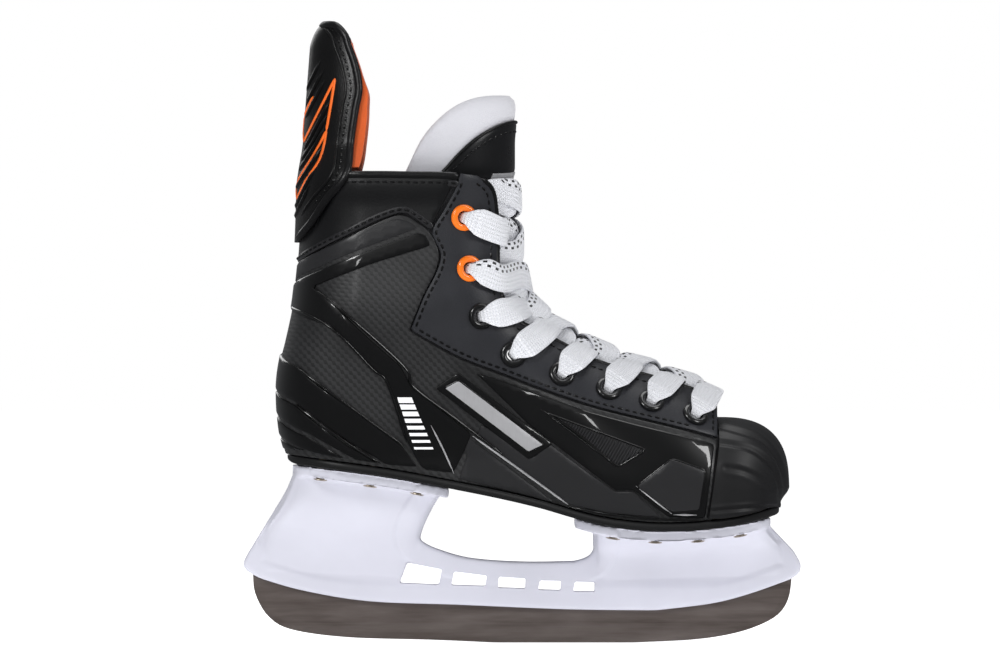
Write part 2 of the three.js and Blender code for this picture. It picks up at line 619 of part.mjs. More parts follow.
const holderSolid = joined([
  sidePlate(webShape(), WEB_THICKNESS),
  tower(heelTower(0)),
  tower(foreTower(0)),
  flange(-103.5, -33, 25, 4),
  flange(23.7, 111.5, 32.5, 5),
]);
const boltTools = BLADE_BOLTS.map(({ x }) =>
  cylinder(BOLT.bore, 37.4, 60, 10, new THREE.Vector3(x, 0, 0), new THREE.Vector3(0, 0, 1)));
add("blade_holder", cut(holderSolid, [
  aboveFlanges(),
  ...runnerSlot(),
  towerHollow(heelTower(-TOWER_WALL), -72),
  towerHollow(foreTower(-TOWER_WALL), 72),
  ...boltTools,
  ...rivetTools,
]), MATERIALS.holder);

// ---- Runner and its bolts ----

// Two hooks on the runner's top take the feet of the holding bolts.
function runnerShape() {
  const shape = new THREE.Shape();
  shape.moveTo(-121, 30.6);
  shape.splineThru(vectors([[-120, 22], [-114.2, 11.9], [-103.7, 5.9], [-78.6, 2.4], [-40, 1.2], [-12, 0]]));
  shape.lineTo(50, 0);
  shape.splineThru(vectors([[76.5, 1.3], [93.8, 3.8], [106.7, 7.8], [115.6, 13], [120, 20.3], [121.4, 30.6]]));
  shape.splineThru(vectors([[102.4, 25.6], [85.2, 21.2], [81.2, 20.2]]));
  shape.lineTo(81, 38);
  shape.lineTo(75.6, 38);
  shape.lineTo(75.6, 33);
  shape.lineTo(69, 33);
  shape.lineTo(69, 29);
  shape.lineTo(63, 29);
  shape.lineTo(63, 18.7);
  shape.splineThru(vectors([[20, 18.7], [-28, 20], [-62.8, 21.4]]));
  shape.lineTo(-63, 38);
  shape.lineTo(-68.4, 38);
  shape.lineTo(-68.4, 33);
  shape.lineTo(-75, 33);
  shape.lineTo(-75, 29);
  shape.lineTo(-81, 29);
  shape.lineTo(-81, 23.6);
  shape.splineThru(vectors([[-98, 26.4], [-121, 31.6]]));
  shape.closePath();
  return shape;
}
add("runner", sidePlate(runnerShape(), RUNNER_THICKNESS), MATERIALS.steel);

BLADE_BOLTS.forEach(({ name, x }) => {
  const base = new THREE.Vector3(x, 0, 0);
  const up = new THREE.Vector3(0, 0, 1);
  const foot = new THREE.BoxGeometry(6, 2.6, 4.6).translate(x, 0, 35.7);
  const shank = cylinder(BOLT.shank, 37.8, BOLT.top, 10, base, up);
  add(`blade_bolt_${name}`, joined([shank, foot]), MATERIALS.fastener);
  const nutRadius = NUT.flats / 2 / Math.cos(Math.PI / 6);
  const from = BOLT.floor + GAP;
  const nut = cylinder(nutRadius, from, from + NUT.height, 6, base, up);
  const hole = cylinder(NUT.bore, from - 1, from + NUT.height + 1, 10, base, up);
  add(`blade_nut_${name}`, cut(nut, [hole]), MATERIALS.fastener);
});

// ---- Tendon guard ----

const guardWidth = profile([[170, 34], [206, 31.5], [225, 29], [250, 25], [265, 20], [279, 12]]);
const guardReach = profile([[206, 22], [224, 22.4], [240, 23.6], [248, 24.4], [258, 22], [268, 17.6], [274, 13], [279, 6]]);

// A point of the guard's curved wall: turn goes from the back centre round to the wing's edge.
function guardPoint(z, turn, depth) {
  const half = guardWidth(z) - depth;
  const deep = 28 - depth;
  const reach = Math.acos(THREE.MathUtils.clamp(1 - guardReach(z) / 28, -1, 1));
  const x = backLine(Math.min(z, 271)) + 28 - deep * Math.cos(turn * reach);
  return new THREE.Vector3(x, half * Math.sin(turn * reach), z);
}

function guardSheet(levels, from, to, shrink) {
  const turns = [-1, -0.72, -0.45, -0.2, 0, 0.2, 0.45, 0.72, 1];
  const grid = (depth) => levels.map((z) => turns.map((turn) => guardPoint(z, turn * shrink, depth)));
  return shellBetween(grid(from), grid(to));
}
const guardLevels = [GUARD_FOOT_Z, 224, 236, 248, 258, 266, 273, 278.6];
add("tendon_guard", guardSheet(guardLevels, 0, GUARD_WALL, 1), MATERIALS.leather);
const linerLevels = [GUARD_FOOT_Z, 224, 236, 248, 258, 266, 272];
add("guard_liner", guardSheet(linerLevels, GUARD_WALL + GAP, GUARD_WALL + 4.2, 0.96), MATERIALS.lining);

const guardBaseStations = [
  [[HEEL_X, 180], [HEEL_X, 211.5]], [[-103.2, 182], [-103.2, 211.5]], [[-98, 188.5], [-98, 211.5]],
  [[-91, 199.5], [-91, 211.5]], [[-83, 208.2], [-83, 211.5]],
];
add("guard_base", wrapPanel(guardBaseStations, [-2.2, -0.8], 2), MATERIALS.leather);

// ---- Tongue ----

// The tongue's cross-section is part of an oval that hangs from the front curve of the boot.
const tongueDeep = profile([[112, 25], [126, 34], [150, 38], [180, 40]]);
const tongueHalf = profile([[112, 20], [126, 23.5], [142, 26.5]]);
const LOWER_TURN = THREE.MathUtils.degToRad(56);
const FACE_TURN = THREE.MathUtils.degToRad(78);
const FELT_TURN = THREE.MathUtils.degToRad(98);
const TONGUE_INSET = 3;
const TONGUE_FOOT = [84.5, 114.4];
const FACE_LAYER = [0, 1];
const FELT_LAYER = [1.4, 8.4];

// Place along the front curve, from 0 to 1, that is nearest to a point of the side view.
function frontPlace([x, z]) {
  const distances = frontLine.map((p) => Math.hypot(p.x - x, p.y - z));
  return distances.indexOf(Math.min(...distances)) / (frontLine.length - 1);
}

function tonguePoint(place, turn, depth) {
  const centre = frontCurve.getPointAt(place);
  const tangent = frontCurve.getTangentAt(place);
  const deep = tongueDeep(centre.y);
  const half = tongueHalf(centre.y);
  const along = TONGUE_INSET + deep - (deep - depth) * Math.cos(turn);
  const x = centre.x + tangent.y * along;
  return new THREE.Vector3(x, centreShift(x) + (half - depth) * Math.sin(turn), centre.y - tangent.x * along);
}

const hingePlace = frontPlace([-3, TONGUE_HINGE_Z - 1.6]);

function lowerTongue([from, to]) {
  const foot = frontPlace(TONGUE_FOOT);
  const turns = [-1, -0.66, -0.33, 0, 0.33, 0.66, 1];
  const levels = 15;
  const grid = (depth) => Array.from({ length: levels + 1 }, (_, i) => turns.map((turn) =>
    tonguePoint(THREE.MathUtils.lerp(foot, hingePlace, i / levels), turn * LOWER_TURN, depth)));
  return shellBetween(grid(from), grid(to));
}

function upperTongue([from, to], widest, crown, drop, power) {
  const turns = [-1, -0.88, -0.7, -0.47, -0.22, 0, 0.22, 0.47, 0.7, 0.88, 1];
  const rows = [0, 0.35, 0.7, 1];
  const grid = (depth) => rows.map((row) => turns.map((turn) => {
    const top = crown - drop * Math.pow(Math.abs(turn), power);
    const point = tonguePoint(hingePlace, turn * widest, depth);
    point.z = THREE.MathUtils.lerp(TONGUE_HINGE_Z, top, row);
    return point;
  }));
  return shellBetween(grid(from), grid(to));
}
add("tongue_lower_face", lowerTongue(FACE_LAYER), MATERIALS.leather);
add("tongue_lower_felt", lowerTongue(FELT_LAYER), MATERIALS.felt);
add("tongue_upper_face", upperTongue(FACE_LAYER, FACE_TURN, 234, 23, 3), MATERIALS.leather);
add("tongue_upper_felt", upperTongue(FELT_LAYER, FELT_TURN, 245.8, 35, 5), MATERIALS.felt);

// ---- Lace ----

// Rows follow the eyelet pairs, from 1 at the ankle to 8 at the toe, and run on a little at each end.
const laceEdges = new THREE.SplineCurve([
  [-11.2, 213], [-10.6, 191], [-10.2, 168], [-6.6, 152.6], [4.7, 141.8], [21.8, 133],
  [41.7, 124.9], [60.9, 119.8], [80.4, 114], [96, 106.8],
].map(([x, z]) => new THREE.Vector2(x, z)));
const laceEdge = (row) => laceEdges.getPoint(row / (laceEdges.points.length - 1)).toArray();

const laceStation = (point, width, across) => ({ point, width, across });

// Direction of the rows of eyelets at a row, in the side view.
function alongRows(row) {
  const [x0, z0] = laceEdge(row - 0.1);
  const [x1, z1] = laceEdge(row + 0.1);
  return new THREE.Vector3(x1 - x0, 0, z1 - z0).normalize();
}

// The lace lies on the edge of the eyestay, or passes beneath it when depth is positive.
function atEdge(row, side, depth) {
  const edge = laceEdge(row);
  const point = bootPoint(...edge, 0, side).addScaledVector(surfaceNormal(edge, side), -depth);
  return laceStation(point, LACE.width, alongRows(row));
}

const onTongue = (row, turn, height) => laceStation(
  tonguePoint(frontPlace(laceEdge(row)), THREE.MathUtils.degToRad(turn), -height), LACE.width, alongRows(row));

// From the outside through an eyelet to the inside. Each step is an offset towards the front and a depth.
function throughEyelet(number, side) {
  const { origin, axis } = eyelets.find((e) => e.number === number && e.side === side);
  const forward = bootPoint(...laceEdge(number), 0, side).sub(origin).projectOnPlane(axis).normalize();
  const across = forward.clone().cross(axis).normalize();
  const steps = [[4.4, -2.3, 6], [2.7, -2, 4.6], [0.6, -0.9, 4.2], [0, 1.2, 4], [0, 4.8, 4], [1.1, 6.5, 4.4], [4.2, 6.6, 6]];
  return steps.map(([offset, depth, width]) => laceStation(
    origin.clone().addScaledVector(forward, offset).addScaledVector(axis, -depth), width, across));
}

// One crossing, from beneath the eyestay of one side to over the edge of the other side's.
const LACE_LEAN = 0.18;
function crossing(row, side, over) {
  const height = LACE.height + (over ? LACE.crossing : 0);
  return [
    atEdge(row + 1 - LACE_LEAN, side, 5),
    ...[24, 12, 0, -12, -24].map((turn) => onTongue(row + 0.5 + turn * 0.0096, side * turn, height)),
    atEdge(row + LACE_LEAN, -side, -1.9),
  ];
}

// One half of the lace, from its first eyelet at the toe up to the end tucked in behind the eyestay.
function laceHalf(firstSide, over) {
  const stations = [];
  for (let number = EYELET_POINTS.length, side = firstSide; number >= 1; number--, side = -side) {
    stations.push(...throughEyelet(number, side));
    if (number > 1) stations.push(...crossing(number - 1, side, over));
  }
  const last = EYELET_POINTS.length % 2 ? firstSide : -firstSide;
  const height = LACE.height + (over ? LACE.crossing : 0);
  const tail = (x, z, depth) => laceStation(bootPoint(x, z, depth, -last), 6, new THREE.Vector3(0, 0, -1));
  const tailDown = (x, z, depth) => laceStation(bootPoint(x, z, depth, -last), 6, new THREE.Vector3(-1, 0, 0));
  return [
    ...stations,
    atEdge(1 - LACE_LEAN, last, over ? 4.4 : 5.8),
    ...[24, 12, 0, -12, -24].map((turn) => onTongue(0.66 + turn * 0.004, last * turn, height)),
    atEdge(0.5, -last, over ? 4.2 : 5.8),
    tail(-17, 201.5, 5.2),
    tail(-26, 200, 6.6),
    tail(-33, 195, 7),
    tailDown(-38, 184, 7),
    tailDown(-38, 168, 7),
  ];
}

function laceRibbon() {
  const toe = EYELET_POINTS.length;
  const bar = [
    atEdge(toe + 0.17, -1, -2.7),
    ...[-24, -12, 0, 12, 24].map((turn) => onTongue(toe + 0.17, turn, LACE.height + 0.6)),
    atEdge(toe + 0.17, 1, -2.7),
  ];
  const stations = [...laceHalf(-1, true).reverse(), ...bar, ...laceHalf(1, false)];
  let previous = null;
  return loft(stations.map(({ point, width, across }, i) => {
    const before = stations[Math.max(i - 1, 0)].point;
    const after = stations[Math.min(i + 1, stations.length - 1)].point;
    const tangent = after.clone().sub(before).normalize();
    const wide = across.clone().projectOnPlane(tangent).normalize();
    if (previous && wide.dot(previous) < 0) wide.negate();
    previous = wide;
    const thick = tangent.clone().cross(wide).multiplyScalar(LACE.thickness / 2);
    const half = wide.clone().multiplyScalar(width / 2);
    return [[-1, -1], [1, -1], [1, 1], [-1, 1]].map(([a, b]) =>
      point.clone().addScaledVector(half, a).addScaledVector(thick, b));
  }));
}
add("lace", laceRibbon(), MATERIALS.lace);

export default skate;
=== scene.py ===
from math import radians, pi, sin, cos

import bpy
import numpy as np
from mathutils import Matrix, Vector
from mathutils.geometry import delaunay_2d_cdt


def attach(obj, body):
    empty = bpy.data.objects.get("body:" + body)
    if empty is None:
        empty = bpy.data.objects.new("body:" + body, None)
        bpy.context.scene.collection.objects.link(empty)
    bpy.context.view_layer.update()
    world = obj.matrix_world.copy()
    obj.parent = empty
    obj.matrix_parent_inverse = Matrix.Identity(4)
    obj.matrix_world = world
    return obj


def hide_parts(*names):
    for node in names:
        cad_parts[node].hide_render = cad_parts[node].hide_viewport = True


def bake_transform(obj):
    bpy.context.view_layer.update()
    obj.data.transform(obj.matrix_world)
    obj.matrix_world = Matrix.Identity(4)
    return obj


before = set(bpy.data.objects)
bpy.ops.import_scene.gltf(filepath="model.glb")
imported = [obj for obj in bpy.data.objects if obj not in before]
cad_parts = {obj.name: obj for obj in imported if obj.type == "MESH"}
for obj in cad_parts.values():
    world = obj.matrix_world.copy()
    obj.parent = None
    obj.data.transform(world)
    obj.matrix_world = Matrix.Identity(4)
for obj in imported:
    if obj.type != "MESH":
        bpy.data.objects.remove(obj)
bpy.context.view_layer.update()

# A hockey skate. Shapes are worked out in millimetres, x to the toe, z up, and put into the scene in metres.
# A side of 1 is the inner side of the foot and -1 the outer side.
metresPerMm = 0.001


class Wire:
    # A socket that takes part in Python expressions. Each operation adds a Math node.
    def __init__(self, maker, socket):
        self.maker = maker
        self.socket = socket

    def join(self, operation, first, second=0.0):
        return self.maker.node("ShaderNodeMath", {"operation": operation}, {0: first, 1: second})

    def __add__(self, other):
        return self.join("ADD", self, other)

    def __radd__(self, other):
        return self.join("ADD", other, self)

    def __sub__(self, other):
        return self.join("SUBTRACT", self, other)

    def __rsub__(self, other):
        return self.join("SUBTRACT", other, self)

    def __mul__(self, other):
        return self.join("MULTIPLY", self, other)

    def __rmul__(self, other):
        return self.join("MULTIPLY", other, self)

    def __gt__(self, other):
        return self.join("GREATER_THAN", self, other)

    def __lt__(self, other):
        return self.join("LESS_THAN", self, other)

    def fraction(self):
        return self.join("FRACT", self)

    def whole(self):
        return self.join("FLOOR", self)

    def size(self):
        return self.join("ABSOLUTE", self)

    def wave(self):
        return self.join("SINE", self)


class NodeMaker:
    # Writes the nodes of one tree: a material's or the world's.
    def __init__(self, tree):
        self.tree = tree
        tree.nodes.clear()

    def node(self, kind, settings=None, inputs=None, out=0):
        made = self.tree.nodes.new(kind)
        for key, value in (settings or {}).items():
            setattr(made, key, value)
        for key, value in (inputs or {}).items():
            if isinstance(value, Wire):
                self.tree.links.new(value.socket, made.inputs[key])
            else:
                made.inputs[key].default_value = value
        return Wire(self, made.outputs[out]) if made.outputs else None


class Finish(NodeMaker):
    # One material round a Principled shader. Constants are set straight on its sockets.
    names = {"colour": "Base Color", "roughness": "Roughness", "metal": "Metallic", "coat": "Coat Weight",
             "coatRoughness": "Coat Roughness", "sheen": "Sheen Weight", "sheenRoughness": "Sheen Roughness",
             "normal": "Normal", "gleam": "Specular IOR Level", "glow": "Emission Strength",
             "glowColour": "Emission Color"}

    def __init__(self, name, **fixed):
        self.material = bpy.data.materials.new(name)
        self.material.use_nodes = True
        super().__init__(self.material.node_tree)
        shader = self.node("ShaderNodeBsdfPrincipled")
        self.shader = shader.socket.node
        self.node("ShaderNodeOutputMaterial", {}, {"Surface": shader})
        for key, value in fixed.items():
            self.set(key, value)

    def set(self, key, value):
        socket = self.shader.inputs[self.names[key]]
        if isinstance(value, Wire):
            self.tree.links.new(value.socket, socket)
        elif key in ("colour", "glowColour"):
            socket.default_value = (*value, 1)
        else:
            socket.default_value = value

    def place(self):
        return self.node("ShaderNodeTexCoord", out="Object")

    def axes(self, where):
        return [self.node("ShaderNodeSeparateXYZ", inputs={0: where}, out=i) for i in range(3)]

    def stretched(self, where, scale):
        return self.node("ShaderNodeVectorMath", {"operation": "MULTIPLY"}, {0: where, 1: scale})

    def noise(self, where, scale, detail=3, roughness=0.5):
        return self.node("ShaderNodeTexNoise", {}, {"Vector": where, "Scale": scale, "Detail": detail,
                                                    "Roughness": roughness})

    def cells(self, where, scale):
        return self.node("ShaderNodeTexVoronoi", {}, {"Vector": where, "Scale": scale})

    def colours(self, mask, first, second):
        tones = [tone if isinstance(tone, Wire) else (*tone, 1) for tone in (first, second)]
        return self.node("ShaderNodeMix", {"data_type": "RGBA"}, {0: mask, 6: tones[0], 7: tones[1]}, out=2)

    def bump(self, height, depth, strength=1.0):
        self.set("normal", self.node("ShaderNodeBump", {}, {"Height": height, "Distance": depth,
                                                            "Strength": strength}))


# View and light, in metres. A softbox has its place, the point that it is aimed at, its size and its power.
studio = {
    "eye": (-0.0099, -3.0, 0.139),
    "lens": 240,
    "film": 36,
    "farthest": 50,
    "room": 0.11,
    "softboxes": {
        "keySoftbox": ((-0.75, -1.25, 1.05), (0, 0, 0.13), (0.4, 0.4), 8.5),
        "fillSoftbox": ((1.15, -1.0, 0.95), (0.02, 0, 0.1), (0.35, 0.6), 6.5),
        "topSoftbox": ((0.1, 0.15, 1.5), (0, 0, 0.1), (1.2, 0.8), 7.5),
        "backSoftbox": ((-0.7, 1.4, 0.8), (0, 0, 0.12), (0.8, 0.8), 3),
        "glintSoftbox": ((-0.3, -1.6, 0.44), (0, 0, 0.13), (0.1, 0.3), 0.9),
    },
}


def addToScene(name, data):
    added = bpy.data.objects.new(name, data)
    bpy.context.collection.objects.link(added)
    return added


def addLight(name, place, aim, size, power):
    lamp = bpy.data.lights.new(name, "AREA")
    lamp.shape = "RECTANGLE"
    lamp.size, lamp.size_y = size
    lamp.energy = power
    softbox = addToScene(name, lamp)
    softbox.location = place
    softbox.rotation_euler = (Vector(aim) - Vector(place)).to_track_quat("-Z", "Y").to_euler()


def setCamera():
    lens = bpy.data.cameras.new("view")
    lens.lens = studio["lens"]
    lens.sensor_width = studio["film"]
    lens.clip_end = studio["farthest"]
    eye = addToScene("view", lens)
    eye.location = studio["eye"]
    eye.rotation_euler = (radians(90), 0, 0)
    bpy.context.scene.camera = eye


def setRoom():
    # The camera sees white behind the skate. Everything else is lit by a dim, cool room.
    world = bpy.data.worlds.new("studio")
    world.use_nodes = True
    sky = NodeMaker(world.node_tree)
    seen = sky.node("ShaderNodeBackground", {}, {"Color": (1, 1, 1, 1)})
    room = sky.node("ShaderNodeBackground", {}, {"Color": (0.95, 0.97, 1, 1), "Strength": studio["room"]})
    toCamera = sky.node("ShaderNodeLightPath", out="Is Camera Ray")
    pick = sky.node("ShaderNodeMixShader", {}, {0: toCamera, 1: room, 2: seen})
    sky.node("ShaderNodeOutputWorld", {}, {"Surface": pick})
    scene = bpy.context.scene
    scene.world = world
    scene.view_settings.view_transform = "Standard"
    scene.view_settings.look = "None"


setCamera()
for softboxName, settings in studio["softboxes"].items():
    addLight(softboxName, *settings)
setRoom()
print("studio set")


# Finishes. Noise and cell scales count features in a metre, so 1000 is a millimetre each.
def lighter(tone, times, more):
    return tuple(min(1, c * times + more) for c in tone)


def leather(name, tone, gloss, grain=0.00012, **fixed):
    made = Finish(name, **{"sheen": 0.02, "coat": 0.1, "coatRoughness": 0.25, "gleam": 0.36, **fixed})
    where = made.place()
    soft = made.noise(where, 60, 2)
    pores = made.cells(where, 1500)
    made.set("colour", made.colours(soft, tone, lighter(tone, 1.6, 0.0006)))
    made.set("roughness", soft * 0.14 + (gloss - 0.07))
    made.bump(pores * 0.6 + made.noise(where, 900, 3) * 0.8, grain, 0.45)
    return made.material


def plastic(name, tone, gloss, texture=0.25, **fixed):
    made = Finish(name, **{"gleam": 0.4, **fixed})
    where = made.place()
    soft = made.noise(where, 45, 3)
    made.set("colour", made.colours(soft, tone, lighter(tone, 1.14, 0.0004)))
    made.set("roughness", soft * 0.1 + (gloss - 0.05))
    made.bump(made.noise(where, 1400, 2), 0.00002, texture)
    return made.material


# The twill: a row's height and slope, a tow's length and slope, the shift of each row, a tow's share on top.
carbon = {"row": 0.0018, "rowSlope": 0.019, "tow": 0.0036, "towSlope": 0.009, "shift": 0.3, "onTop": 0.58}


def carbonWeave(name):
    made = Finish(name, coat=0.5, coatRoughness=0.24)
    where = made.place()
    x, y, z = made.axes(where)
    row = z * (1 / carbon["row"]) + x * (1 / carbon["rowSlope"])
    tow = x * (1 / carbon["tow"]) + z * (1 / carbon["towSlope"]) + row.whole() * carbon["shift"]
    over = tow.fraction() > 1 - carbon["onTop"]
    ridge = (tow.fraction() - 0.5).size() * 0.6 + (row.fraction() - 0.5).size()
    cloud = made.noise(where, 24, 2)
    # The cloud varies the weave's tone at random, and its broad lighter patches are a painted sheen.
    shown = over * (cloud * 2.2 - 0.65) + cloud * 0.8 - 0.2
    made.set("colour", made.colours(shown, (0.0070, 0.0071, 0.0076), (0.0270, 0.0274, 0.0288)))
    made.set("roughness", 0.34 + ridge * 0.2 + cloud * 0.1)
    made.bump(1 - ridge, 0.00016, 0.5)
    return made.material


def ribbedPlastic(name, pitch=0.00125):
    made = Finish(name)
    x, y, z = made.axes(made.place())
    rib = ((x * 0.85 - z * 0.5) * (2 * pi / pitch)).wave()
    # The colour follows the ribs, darker in their grooves and lighter on their crests: painted shade and painted
    # highlight over the bump.
    made.set("colour", made.colours(rib * 0.5 + 0.5, (0.006, 0.006, 0.007), (0.022, 0.022, 0.024)))
    made.set("roughness", 0.42 + rib * 0.08)
    made.bump(rib, 0.00025, 0.8)
    return made.material


def feltCloth(name, tone, shade):
    made = Finish(name, sheen=0.35, sheenRoughness=0.5)
    where = made.place()
    fibres = made.noise(made.stretched(where, (1, 1, 1.6)), 1300, 5, 0.65)
    cloud = made.noise(where, 38, 3)
    made.set("colour", made.colours(fibres * 0.55 + cloud * 0.45, shade, tone))
    made.set("roughness", 0.82 + fibres * 0.15)
    made.bump(fibres * 0.7 + cloud * 0.9, 0.0005, 0.6)
    return made.material


def brushedMetal(name, tone, gloss, direction=(3, 60, 160), metal=1.0):
    made = Finish(name, metal=metal)
    where = made.place()
    lines = made.noise(made.stretched(where, direction), 22, 6, 0.7)
    cloud = made.noise(where, 25, 3)
    made.set("colour", made.colours(lines * 0.6 + cloud * 0.4, lighter(tone, 0.72, 0), tone))
    made.set("roughness", gloss - 0.08 + lines * 0.16)
    made.bump(lines, 0.00003, 0.4)
    return made.material


def groundSteel(name, bandHeight=0.0085):
    # The runner: satin sides, and a smoother ground band along its lower edge.
    made = Finish(name, metal=0.55)
    where = made.place()
    x, y, z = made.axes(where)
    lines = made.noise(made.stretched(where, (2, 40, 110)), 24, 6, 0.7)
    streaks = made.noise(made.stretched(where, (1, 1, 7)), 26, 4)
    low = (z - bandHeight - streaks * 0.001) < 0
    side = made.colours(lines * 0.3 + streaks * 1.6 - 0.45, (0.080, 0.060, 0.052), (0.235, 0.200, 0.186))
    ground = made.colours(lines * 0.4 + streaks * 1.4 - 0.4, (0.090, 0.069, 0.060), (0.250, 0.215, 0.200))
    made.set("colour", made.colours(low, side, ground))
    made.set("roughness", 0.44 + lines * 0.14 - low * 0.05)
    made.bump(lines, 0.00003, 0.35)
    return made.material


# The lace's weave along its UV: ribs over its width, and in millimetres the plait and the dashes. Each row of
# dashes has its place across the lace and its shift along it, both as shares.
laceWeave = {"ribs": 7, "plait": 1.3, "dash": 4.4, "dashShare": 0.42, "rows": ((0.74, 0.0), (0.90, 0.5)),
             "rowHalf": 0.045}


def laceCloth(name):
    made = Finish(name, sheen=0.3, sheenRoughness=0.5)
    uv = made.node("ShaderNodeUVMap", {"uv_map": "UVMap"})
    along, across, _ = made.axes(uv)
    rib = (across * (2 * pi * laceWeave["ribs"])).wave()
    plait = rib * (along * (2 * pi / laceWeave["plait"]) + rib * 1.2).wave()
    fibre = made.noise(made.stretched(uv, (0.9, 9, 1)), 2.2, 4, 0.6)
    dashes = 0
    for place, shift in laceWeave["rows"]:
        inRow = (across - place).size() < laceWeave["rowHalf"]
        inDash = (along * (1 / laceWeave["dash"]) + shift).fraction() < laceWeave["dashShare"]
        dashes = inRow * inDash + dashes
    pale = made.colours(plait * 0.35 + fibre * 0.5 + 0.25, (0.74, 0.75, 0.81), (0.91, 0.92, 0.95))
    made.set("colour", made.colours(dashes, pale, (0.012, 0.012, 0.014)))
    made.set("roughness", 0.8 + fibre * 0.1)
    made.bump(plait * 0.8 + rib * 0.6 + fibre * 0.5, 0.00035, 0.7)
    return made.material


finishes = {
    "carbon": carbonWeave("carbonWeave"),
    "gloss": plastic("glossBlackPlastic", (0.0010, 0.0010, 0.0012), 0.34, 0.03, coat=1.0, coatRoughness=0.05,
                     gleam=0.3),
    "satin": plastic("satinBlackPlastic", (0.0170, 0.0170, 0.0185), 0.36, 0.5, coat=0.25, coatRoughness=0.22),
    "ribbed": ribbedPlastic("ribbedBlackPlastic"),
    "toe": plastic("toeRubberPlastic", (0.0075, 0.0075, 0.0085), 0.48, 0.8, gleam=0.5),
    "sole": plastic("outsolePlastic", (0.0095, 0.0095, 0.0100), 0.42, 0.6),
    "collar": leather("collarLeather", (0.0014, 0.0015, 0.0020), 0.38, coat=0.6, coatRoughness=0.3),
    "eyestay": leather("eyestayLeather", (0.0170, 0.0177, 0.0215), 0.44, 0.00014),
    "binding": leather("bindingLeather", (0.0026, 0.0026, 0.0030), 0.34, 0.0002),
    # Lighter leather for the low beads under the stitches: the bead is the seam's ridge, and its lighter tone is
    # a painted highlight of the puckered leather.
    "seamSheenBand": leather("seamSheenBandLeather", (0.0130, 0.0130, 0.0145), 0.40, 0.0002),
    "guard": leather("guardLeather", (0.0014, 0.0014, 0.0016), 0.33, 0.00016),
    "tongue": leather("tongueLeather", (0.0040, 0.0041, 0.0048), 0.30, 0.00007),
    "thread": plastic("blackThread", (0.0020, 0.0020, 0.0024), 0.34, 0.3, coat=0.2, coatRoughness=0.25),
    "lining": feltCloth("orangeLining", (0.86, 0.145, 0.020), (0.62, 0.085, 0.010)),
    "groove": plastic("orangeGroove", (0.88, 0.150, 0.014), 0.42),
    "padding": feltCloth("paddingKnit", (0.030, 0.030, 0.034), (0.012, 0.012, 0.014)),
    "quarter": feltCloth("quarterBacking", (0.022, 0.022, 0.025), (0.010, 0.010, 0.012)),
    "footbed": feltCloth("footbedFoam", (0.034, 0.034, 0.038), (0.014, 0.014, 0.016)),
    "board": feltCloth("insoleFibre", (0.240, 0.170, 0.110), (0.140, 0.100, 0.062)),
    "felt": feltCloth("whiteFelt", (0.73, 0.73, 0.77), (0.60, 0.60, 0.65)),
    # Brushed silver for the badge and the tongue strip; on the side frame's silver ridges it is a painted
    # highlight.
    "silverAndHighlight": brushedMetal("brushedSilverAndHighlight", (0.66, 0.66, 0.68), 0.38, (90, 30, 6), 0.5),
    "mark": plastic("whiteMark", (0.86, 0.86, 0.88), 0.4),
    "holder": plastic("holderPlastic", (0.600, 0.602, 0.680), 0.36, 0.2, coat=0.15,
                      coatRoughness=0.2),
    "steel": groundSteel("runnerSteel"),
    "rivet": brushedMetal("rivetMetal", (0.66, 0.57, 0.44), 0.32, (60, 60, 60)),
    "bolt": brushedMetal("boltMetal", (0.55, 0.53, 0.50), 0.3, (40, 40, 160)),
    "orangeEyelet": plastic("orangeEnamel", (0.93, 0.185, 0.010), 0.24, 0.1, coat=0.5, coatRoughness=0.08),
    "blackEyelet": plastic("blackEnamel", (0.0016, 0.0016, 0.002), 0.34, 0.1, coat=1.0, coatRoughness=0.05),
    "lace": laceCloth("laceCloth"),
}
print("finishes made")


# The boot's outline curves. Its surface is drawn with a straight heel and then bent to the back line.
heelX = -105
heelRadius = 30
heelBlend = 60
seam = 0.12
outsoleThickness = 3.6
feather = 4.0
sides = {"outer": -1, "inner": 1}


def inRange(t):
    return np.clip(t, 0, 1)


def ease(x, a, b):
    t = inRange((x - a) / (b - a))
    return t * t * (3 - 2 * t)


def profile(points):
    # A smooth curve y(x) through the given points.
    xs, ys = np.array(points, float).T
    last = len(xs) - 1
    before = np.maximum(np.arange(last + 1) - 1, 0)
    after = np.minimum(np.arange(last + 1) + 1, last)
    slopes = (ys[after] - ys[before]) / (xs[after] - xs[before])

    def at(x):
        x = np.clip(np.asarray(x, float), xs[0], xs[-1])
        i = np.clip(np.searchsorted(xs, x, side="right") - 1, 0, last - 1)
        h = xs[i + 1] - xs[i]
        t = (x - xs[i]) / h
        s = 1 - t
        return (ys[i] * s * s * (1 + 2 * t) + ys[i + 1] * t * t * (3 - 2 * t)
                + h * (slopes[i] * t * s * s - slopes[i + 1] * t * t * s))
    return at


def smoothPath(points, steps=8, closed=False):
    # A Catmull-Rom line through points of any dimension.
    p = np.array(points, float)
    if closed:
        p = np.vstack([p[-1], p, p[0], p[1]])
    else:
        p = np.vstack([p[0], p, p[-1]])
    t = np.linspace(0, 1, steps, endpoint=False)[:, None]
    parts = []
    for i in range(1, len(p) - 2):
        a, b, c, d = p[i - 1], p[i], p[i + 1], p[i + 2]
        v, w = (c - a) / 2, (d - b) / 2
        parts.append((2 * b - 2 * c + v + w) * t ** 3 + (-3 * b + 3 * c - 2 * v - w) * t ** 2 + v * t + b)
    line = np.vstack(parts)
    return line if closed else np.vstack([line, p[-2]])


def lengths(line):
    return np.concatenate([[0], np.cumsum(np.linalg.norm(np.diff(line, axis=0), axis=1))])


def respaced(line, step=None, count=None):
    # The same line with evenly spaced points.
    line = np.asarray(line, float)
    run = lengths(line)
    count = count or max(2, int(round(run[-1] / step)) + 1)
    where = np.linspace(0, run[-1], count)
    return np.stack([np.interp(where, run, line[:, k]) for k in range(line.shape[1])], 1)


